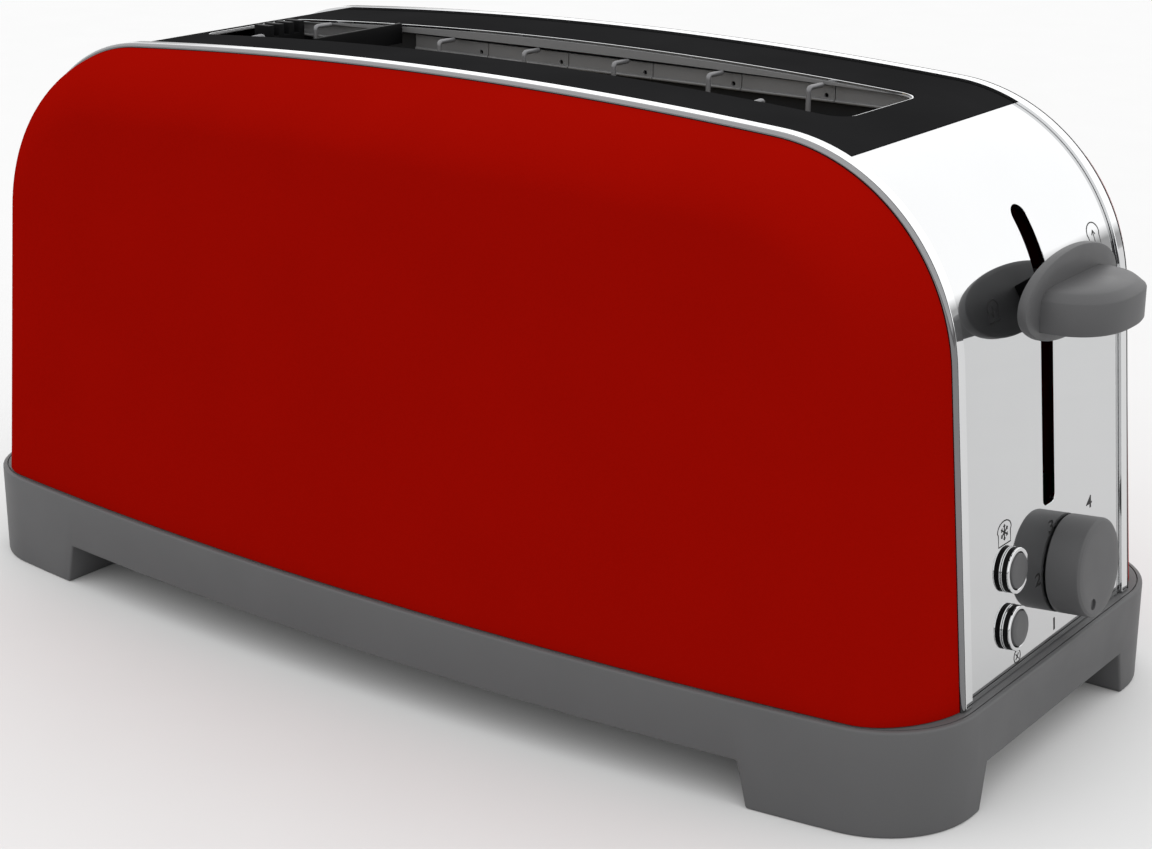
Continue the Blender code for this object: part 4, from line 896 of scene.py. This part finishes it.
def make_lever():
    """An oval flange with a flat topped paddle, and the stem that carries them."""
    low, high = local_box("lever_handle")
    back, face = low.x, high.x - PADDLE_REACH
    y, z = (low.y + high.y) / 2, (low.z + high.z) / 2
    half_y, half_z = (high.y - low.y) / 2, (high.z - low.z) / 2
    soft = 0.8 * MM
    rings = []
    profile = [(3 * soft, back), (soft, back), (0.3 * soft, back + 0.3 * soft), (0, back + soft)]
    profile += [(0, face - soft), (0.3 * soft, face - 0.3 * soft), (soft, face), (5 * soft, face + 0.1 * MM)]
    for inset, x in profile:
        ellipse = ring_of(1, 72)
        rings.append([(x, y + a * (half_y - inset), z + b * (half_z - inset)) for a, b in ellipse])
    flange = skin("lever_flange", rings)
    arm_low, arm_high = local_box("lever_arm")
    middle, tall = (arm_low.z + arm_high.z) / 2, PADDLE_TALL
    levels = [(1.2 * MM, -tall), (0.35 * MM, -tall + 0.3 * MM), (0, -tall + 0.9 * MM), (0, tall - 2.9 * MM)]
    levels += [(0.2 * MM, tall - 2.5 * MM), (2.3 * MM, tall - 0.75 * MM)]
    levels += [(2.9 * MM, tall - 0.35 * MM), (8 * MM, tall)]
    rings = []
    for shrink, rise in levels:
        ends = PADDLE_HALF - shrink
        outline = [(-PADDLE_ROOT, -ends)] + lever_outline(shrink) + [(-PADDLE_ROOT, ends)]
        rings.append([(face + a, y + b, middle + rise) for a, b in outline])
    paddle = skin("paddle", rings)
    carve(flange, [paddle], "UNION")
    flange.name = "lever_grip"
    place(smooth(flange, 32), DARK_GREY, "carriage", ["lever_handle"])
    arm = block("lever_stem", arm_low, arm_high)
    bevel(arm, 0.5 * MM, 2)
    place(smooth(arm), BLACK, "carriage", ["lever_arm"])


# ---------------------------------------------------------------- dial and buttons


def panel_matrix(spot):
    """Lays a turned piece's Z square to the panel, at (distance up, across)."""
    s, y = spot
    foot = on_band(0, 0, -PANEL_INSET)
    origin = foot + Vector((-math.sin(END_LEAN), 0, math.cos(END_LEAN))) * s
    return Matrix.Translation((origin.x, y, origin.z)) @ Matrix.Rotation(math.pi / 2 - END_LEAN, 4, "Y")


def on_panel(obj, spot):
    obj.data.transform(panel_matrix(spot))
    return obj


DIAL_RADIUS, DIAL_BACK, DIAL_FRONT = 14.9 * MM, 0.4 * MM, 11.0 * MM
DIMPLE_RADIUS, DIMPLE_DEPTH, DIMPLE_REACH, DIMPLE_TURN = 1.7 * MM, 0.8 * MM, 11 * MM, math.radians(-115)


def make_dial():
    """A plain round knob with a dimple as its index."""
    radius, back, front = DIAL_RADIUS, DIAL_BACK, DIAL_FRONT
    soft = 0.35 * MM
    profile = [(0, back), (radius - soft, back), (radius, back + soft), (radius, front - 1.0 * MM)]
    profile += [(radius - 0.2 * MM, front - 0.5 * MM), (radius - 0.85 * MM, front - 0.1 * MM)]
    profile += [(radius - 1.2 * MM, front), (radius - 4 * MM, front), (0, front)]
    dial = turned("dial", profile, 96)
    # The turned piece's own X points down the panel, and its Y across it.
    centre = (-DIMPLE_REACH * math.sin(DIMPLE_TURN), DIMPLE_REACH * math.cos(DIMPLE_TURN))
    dimple = ring_of(DIMPLE_RADIUS, 28, centre)
    carve(dial, [prism("dimple", dimple, "Z", front - DIMPLE_DEPTH, front + 2 * MM)])
    on_panel(dial, KNOB)
    place(smooth(dial, 30), DARK_GREY, "browning_dial", ["browning_knob"])


BEZEL_OUTER, BEZEL_INNER, BEZEL_HEIGHT = 6.7 * MM, 5.5 * MM, 2.5 * MM
BEZEL_BACK = 0.1 * MM
CAP_RADIUS, CAP_TOP, CAP_BACK = 5.15 * MM, 3.0 * MM, -8.5 * MM
STEM_RADIUS, STEM_TOP = 2.4 * MM, -2.8 * MM


def make_buttons():
    """Each button is a grey cap in a bright lip, on a dark wall that stands on a thin bright foot."""
    for name, spot in (("defrost", DEFROST), ("cancel", CANCEL)):
        foot, lip, soft = 0.45 * MM, BEZEL_HEIGHT - 0.5 * MM, 0.15 * MM
        wall_outer, wall_inner = BEZEL_OUTER - 0.12 * MM, BEZEL_INNER - 0.12 * MM
        base = hollow(f"{name}_ring_foot", [
            (BEZEL_INNER, BEZEL_BACK), (BEZEL_OUTER, BEZEL_BACK), (BEZEL_OUTER, foot), (BEZEL_INNER, foot)])
        crown = hollow(f"{name}_ring", [
            (BEZEL_INNER, lip), (BEZEL_OUTER, lip), (BEZEL_OUTER, BEZEL_HEIGHT - soft),
            (BEZEL_OUTER - soft, BEZEL_HEIGHT), (BEZEL_INNER + soft, BEZEL_HEIGHT),
            (BEZEL_INNER, BEZEL_HEIGHT - soft)])
        step, lap = BEZEL_INNER + 0.1 * MM, 0.05 * MM
        wall = hollow(f"{name}_ring_wall", [
            (wall_inner, BEZEL_BACK), (step, BEZEL_BACK), (step, foot - lap),
            (wall_outer, foot - lap), (wall_outer, lip + lap), (wall_inner, lip + lap)])
        ring = merged(f"{name}_ring", [on_panel(base, spot), on_panel(crown, spot)])
        place(smooth(ring, 30), CHROME, nodes=[f"{name}_bezel"])
        place(smooth(on_panel(wall, spot), 30), BLACK)
        soft = 0.4 * MM
        profile = [(0, CAP_BACK), (STEM_RADIUS, CAP_BACK), (STEM_RADIUS, STEM_TOP), (CAP_RADIUS, STEM_TOP)]
        profile += [(CAP_RADIUS, CAP_TOP - soft), (CAP_RADIUS - soft / 3, CAP_TOP - soft / 3)]
        profile += [(CAP_RADIUS - soft, CAP_TOP), (CAP_RADIUS / 2, CAP_TOP), (0, CAP_TOP)]
        cap = on_panel(turned(f"{name}_cap", profile, 64), spot)
        place(smooth(cap, 30), DARK_GREY, f"{name}_key", [f"{name}_button"])


# ---------------------------------------------------------------- printing on the panel


INK_HEIGHT, INK_LINE = 0.05 * MM, 0.38 * MM
# The symbols' places, as (distance across the panel, distance up it) of the foot or, for a round one, the centre.
DEFROST_ICON = (-27.7 * MM, 40.6 * MM)
LIFT_ICON = (39.5 * MM, 112.1 * MM)
LOWER_ICON = (-30.4 * MM, 105.7 * MM)
CANCEL_ICON, CANCEL_ICON_REACH = (-21 * MM, 4.4 * MM), 1.5 * MM


def ribbon(bm, points, width, closed=False):
    """A printed line on the bright band, as a thin raised strip. Points are (across, distance up)."""
    flat = [Vector(p) for p in points]
    count = len(flat)
    rows = []
    for i, spot in enumerate(flat):
        before = flat[i - 1] if i or closed else spot
        after = flat[(i + 1) % count] if i < count - 1 or closed else spot
        way = (after - before).normalized()
        side = Vector((-way.y, way.x)) * width / 2
        row = []
        for sign, lift in ((1, 0.0), (1, INK_HEIGHT), (-1, INK_HEIGHT), (-1, 0.0)):
            spot_on = spot + side * sign
            row.append(bm.verts.new(on_band(spot_on.y, spot_on.x, lift - PANEL_INSET)))
        rows.append(row)
    pairs = list(zip(rows, rows[1:])) + ([(rows[-1], rows[0])] if closed else [])
    for lower, upper in pairs:
        for i in range(4):
            j = (i + 1) % 4
            bm.faces.new((lower[i], lower[j], upper[j], upper[i]))
    if not closed:
        bm.faces.new(rows[0])
        bm.faces.new(rows[-1])


def slice_outline(y, s, width, height):
    """A slice of bread: square foot and a rounded, wider top."""
    half, foot = width / 2, width * 0.44
    crown = height * 0.62
    points = [(y - foot, s), (y + foot, s), (y + foot, s + crown * 0.8)]
    points += [(y + half * math.cos(t), s + crown + (height - crown) * math.sin(t))
               for t in [math.pi * i / 10 for i in range(11)]]
    return points + [(y - foot, s + crown * 0.8)]


def arrow(bm, y, low, high, tip, barbs, half):
    """An upright shaft from low to high, and a head from the tip to two barbs."""
    ribbon(bm, [(y, low), (y, high)], INK_LINE)
    ribbon(bm, [(y - half, barbs), (y, tip), (y + half, barbs)], INK_LINE)


def make_icons():
    """The symbols are bread slices with a snowflake or an arrow, and a round sign below the cancel button."""
    line = INK_LINE
    bm = bmesh.new()
    y, s = DEFROST_ICON
    ribbon(bm, slice_outline(y, s, 8.6 * MM, 7.0 * MM), line, True)
    for i in range(3):
        t = math.pi * i / 3 + math.pi / 2
        arm = Vector((math.cos(t), math.sin(t))) * 2.4 * MM
        middle = Vector((y, s + 3.6 * MM))
        ribbon(bm, [middle - arm, middle + arm], line * 1.3)
        for sign in (-1, 1):
            tip = middle + arm * sign * 0.62
            for turn in (0.9, -0.9):
                barb = Vector((math.cos(t + turn), math.sin(t + turn))) * 0.8 * MM * sign
                ribbon(bm, [tip, tip + barb], line * 0.8)
    y, s = LIFT_ICON
    ribbon(bm, slice_outline(y, s, 8 * MM, 8.6 * MM), line, True)
    arrow(bm, y, s + 2.4 * MM, s + 6 * MM, s + 6.2 * MM, s + 4.8 * MM, 1.1 * MM)
    y, s = LOWER_ICON
    ribbon(bm, slice_outline(y, s, 6.4 * MM, 6.4 * MM), line, True)
    arrow(bm, y, s + 1.5 * MM, s + 4.6 * MM, s + 1.4 * MM, s + 2.7 * MM, 1.0 * MM)
    (y, s), reach = CANCEL_ICON, CANCEL_ICON_REACH
    ribbon(bm, ring_of(reach * 1.35, 24, (y, s)), line * 0.9, True)
    for sign in (1, -1):
        across, up = reach * 0.6, sign * reach * 0.6
        ribbon(bm, [(y - across, s - up), (y + across, s + up)], line)
    place(link("panel_symbols", mesh_from("panel_symbols", bm)), PRINT)


# Each figure's (distance across the panel, distance up it), in millimetres.
DIGITS = {"1": (3.8, 5.8), "2": (-6.6, 23.0), "3": (2.5, 36.6), "4": (29.1, 36.2)}
DIGIT_SIZE, DIGIT_WIDTH = 5.4 * MM, 1.55


def make_digits():
    marks = []
    for digit, (y, up) in DIGITS.items():
        text = bpy.data.curves.new("digit", "FONT")
        text.body = digit
        text.size = DIGIT_SIZE
        text.align_x = "CENTER"
        text.align_y = "CENTER"
        text.extrude = 0.03 * MM
        text.offset = 0.07 * MM
        holder = link("digit_text", text)
        bpy.context.view_layer.update()
        graph = bpy.context.evaluated_depsgraph_get()
        mesh = bpy.data.meshes.new_from_object(holder.evaluated_get(graph))
        bpy.data.objects.remove(holder, do_unlink=True)
        # The text's X runs across the panel and its Y up it.
        turn = Matrix.Rotation(math.pi / 2, 4, "Z") @ Matrix.Diagonal((DIGIT_WIDTH, 1, 1, 1))
        mesh.transform(panel_matrix((up * MM, y * MM)) @ turn)
        marks.append(link("digit", mesh))
    place(merged("dial_figures", marks), PRINT)


# ---------------------------------------------------------------- stage


def make_floor():
    size = 12
    floor = block("floor", (-size, -size, -0.02), (size, size, 0))
    look = surface("studio_floor", (0.60, 0.60, 0.60), 0.8, grain=40, relief=0, shift=0.005, specular=0.0)
    floor.data.materials.append(look)


SKY, HORIZON, GROUND = 1.62, 0.5, 0.9
HORIZON_LOW, HORIZON_HIGH = -0.1, 0.3


def make_light():
    """A bright sky over a grey horizon, which gives the bright metal its grey edges.

    The ramp runs over the upward part of the view direction, from HORIZON_LOW to HORIZON_HIGH. Its stops hold
    half of each radiance, because a colour stop ends at 1, and the background's strength doubles them.
    """
    world = bpy.data.worlds.new("studio")
    bpy.context.scene.world = world
    world.use_nodes = True
    tree = world.node_tree
    coordinates = node(tree, "ShaderNodeTexCoord")
    split = node(tree, "ShaderNodeSeparateXYZ")
    tree.links.new(coordinates.outputs["Generated"], split.inputs["Vector"])
    ramp = node(tree, "ShaderNodeMapRange")
    ramp.inputs["From Min"].default_value = HORIZON_LOW
    ramp.inputs["From Max"].default_value = HORIZON_HIGH
    tree.links.new(split.outputs["Z"], ramp.inputs["Value"])
    bands = node(tree, "ShaderNodeValToRGB")
    marks = ((0.0, GROUND), (0.2, GROUND), (0.26, HORIZON), (0.40, HORIZON), (0.55, SKY), (1.0, SKY))
    for i, (place_at, value) in enumerate(marks):
        if i < 2:
            stop = bands.color_ramp.elements[i]
            stop.position = place_at
        else:
            stop = bands.color_ramp.elements.new(place_at)
        stop.color = (value / 2, value / 2, value / 2, 1)
    tree.links.new(ramp.outputs["Result"], bands.inputs["Fac"])
    background = tree.nodes["Background"]
    tree.links.new(bands.outputs["Color"], background.inputs["Color"])
    background.inputs["Strength"].default_value = 2.0


CAMERA_EYE = Vector((442.86, -581.69, 308.02)) * MM
CAMERA_YAW, CAMERA_PITCH, CAMERA_ROLL = math.radians(126.205), math.radians(18.496), math.radians(0.186)
CAMERA_LENS, CAMERA_SENSOR = 71.06, 36


def make_camera():
    level = math.cos(CAMERA_PITCH)
    forward = Vector((math.cos(CAMERA_YAW) * level, math.sin(CAMERA_YAW) * level, -math.sin(CAMERA_PITCH)))
    right = Vector((math.sin(CAMERA_YAW), -math.cos(CAMERA_YAW), 0))
    up = right.cross(forward)
    turned_right = right * math.cos(CAMERA_ROLL) + up * math.sin(CAMERA_ROLL)
    turned_up = up * math.cos(CAMERA_ROLL) - right * math.sin(CAMERA_ROLL)
    data = bpy.data.cameras.new("camera")
    data.lens = CAMERA_LENS
    data.sensor_width = CAMERA_SENSOR
    data.sensor_fit = "HORIZONTAL"
    camera = link("camera", data)
    rotation = Matrix((turned_right, turned_up, -forward)).transposed()
    camera.matrix_world = Matrix.Translation(CAMERA_EYE + Vector((MIDDLE, 0, 0))) @ rotation.to_4x4()
    bpy.context.scene.camera = camera


make_camera()
dress_cad_nodes()
make_base()
make_tray_handle()
make_gland()
make_sides()
make_trims()
make_panels()
make_slot_edge()
make_rear_liner()
make_guards()
make_divider()
make_comb()
make_lever()
make_dial()
make_buttons()
make_icons()
make_digits()
make_floor()
make_light()
bpy.context.scene.view_settings.view_transform = "Standard"
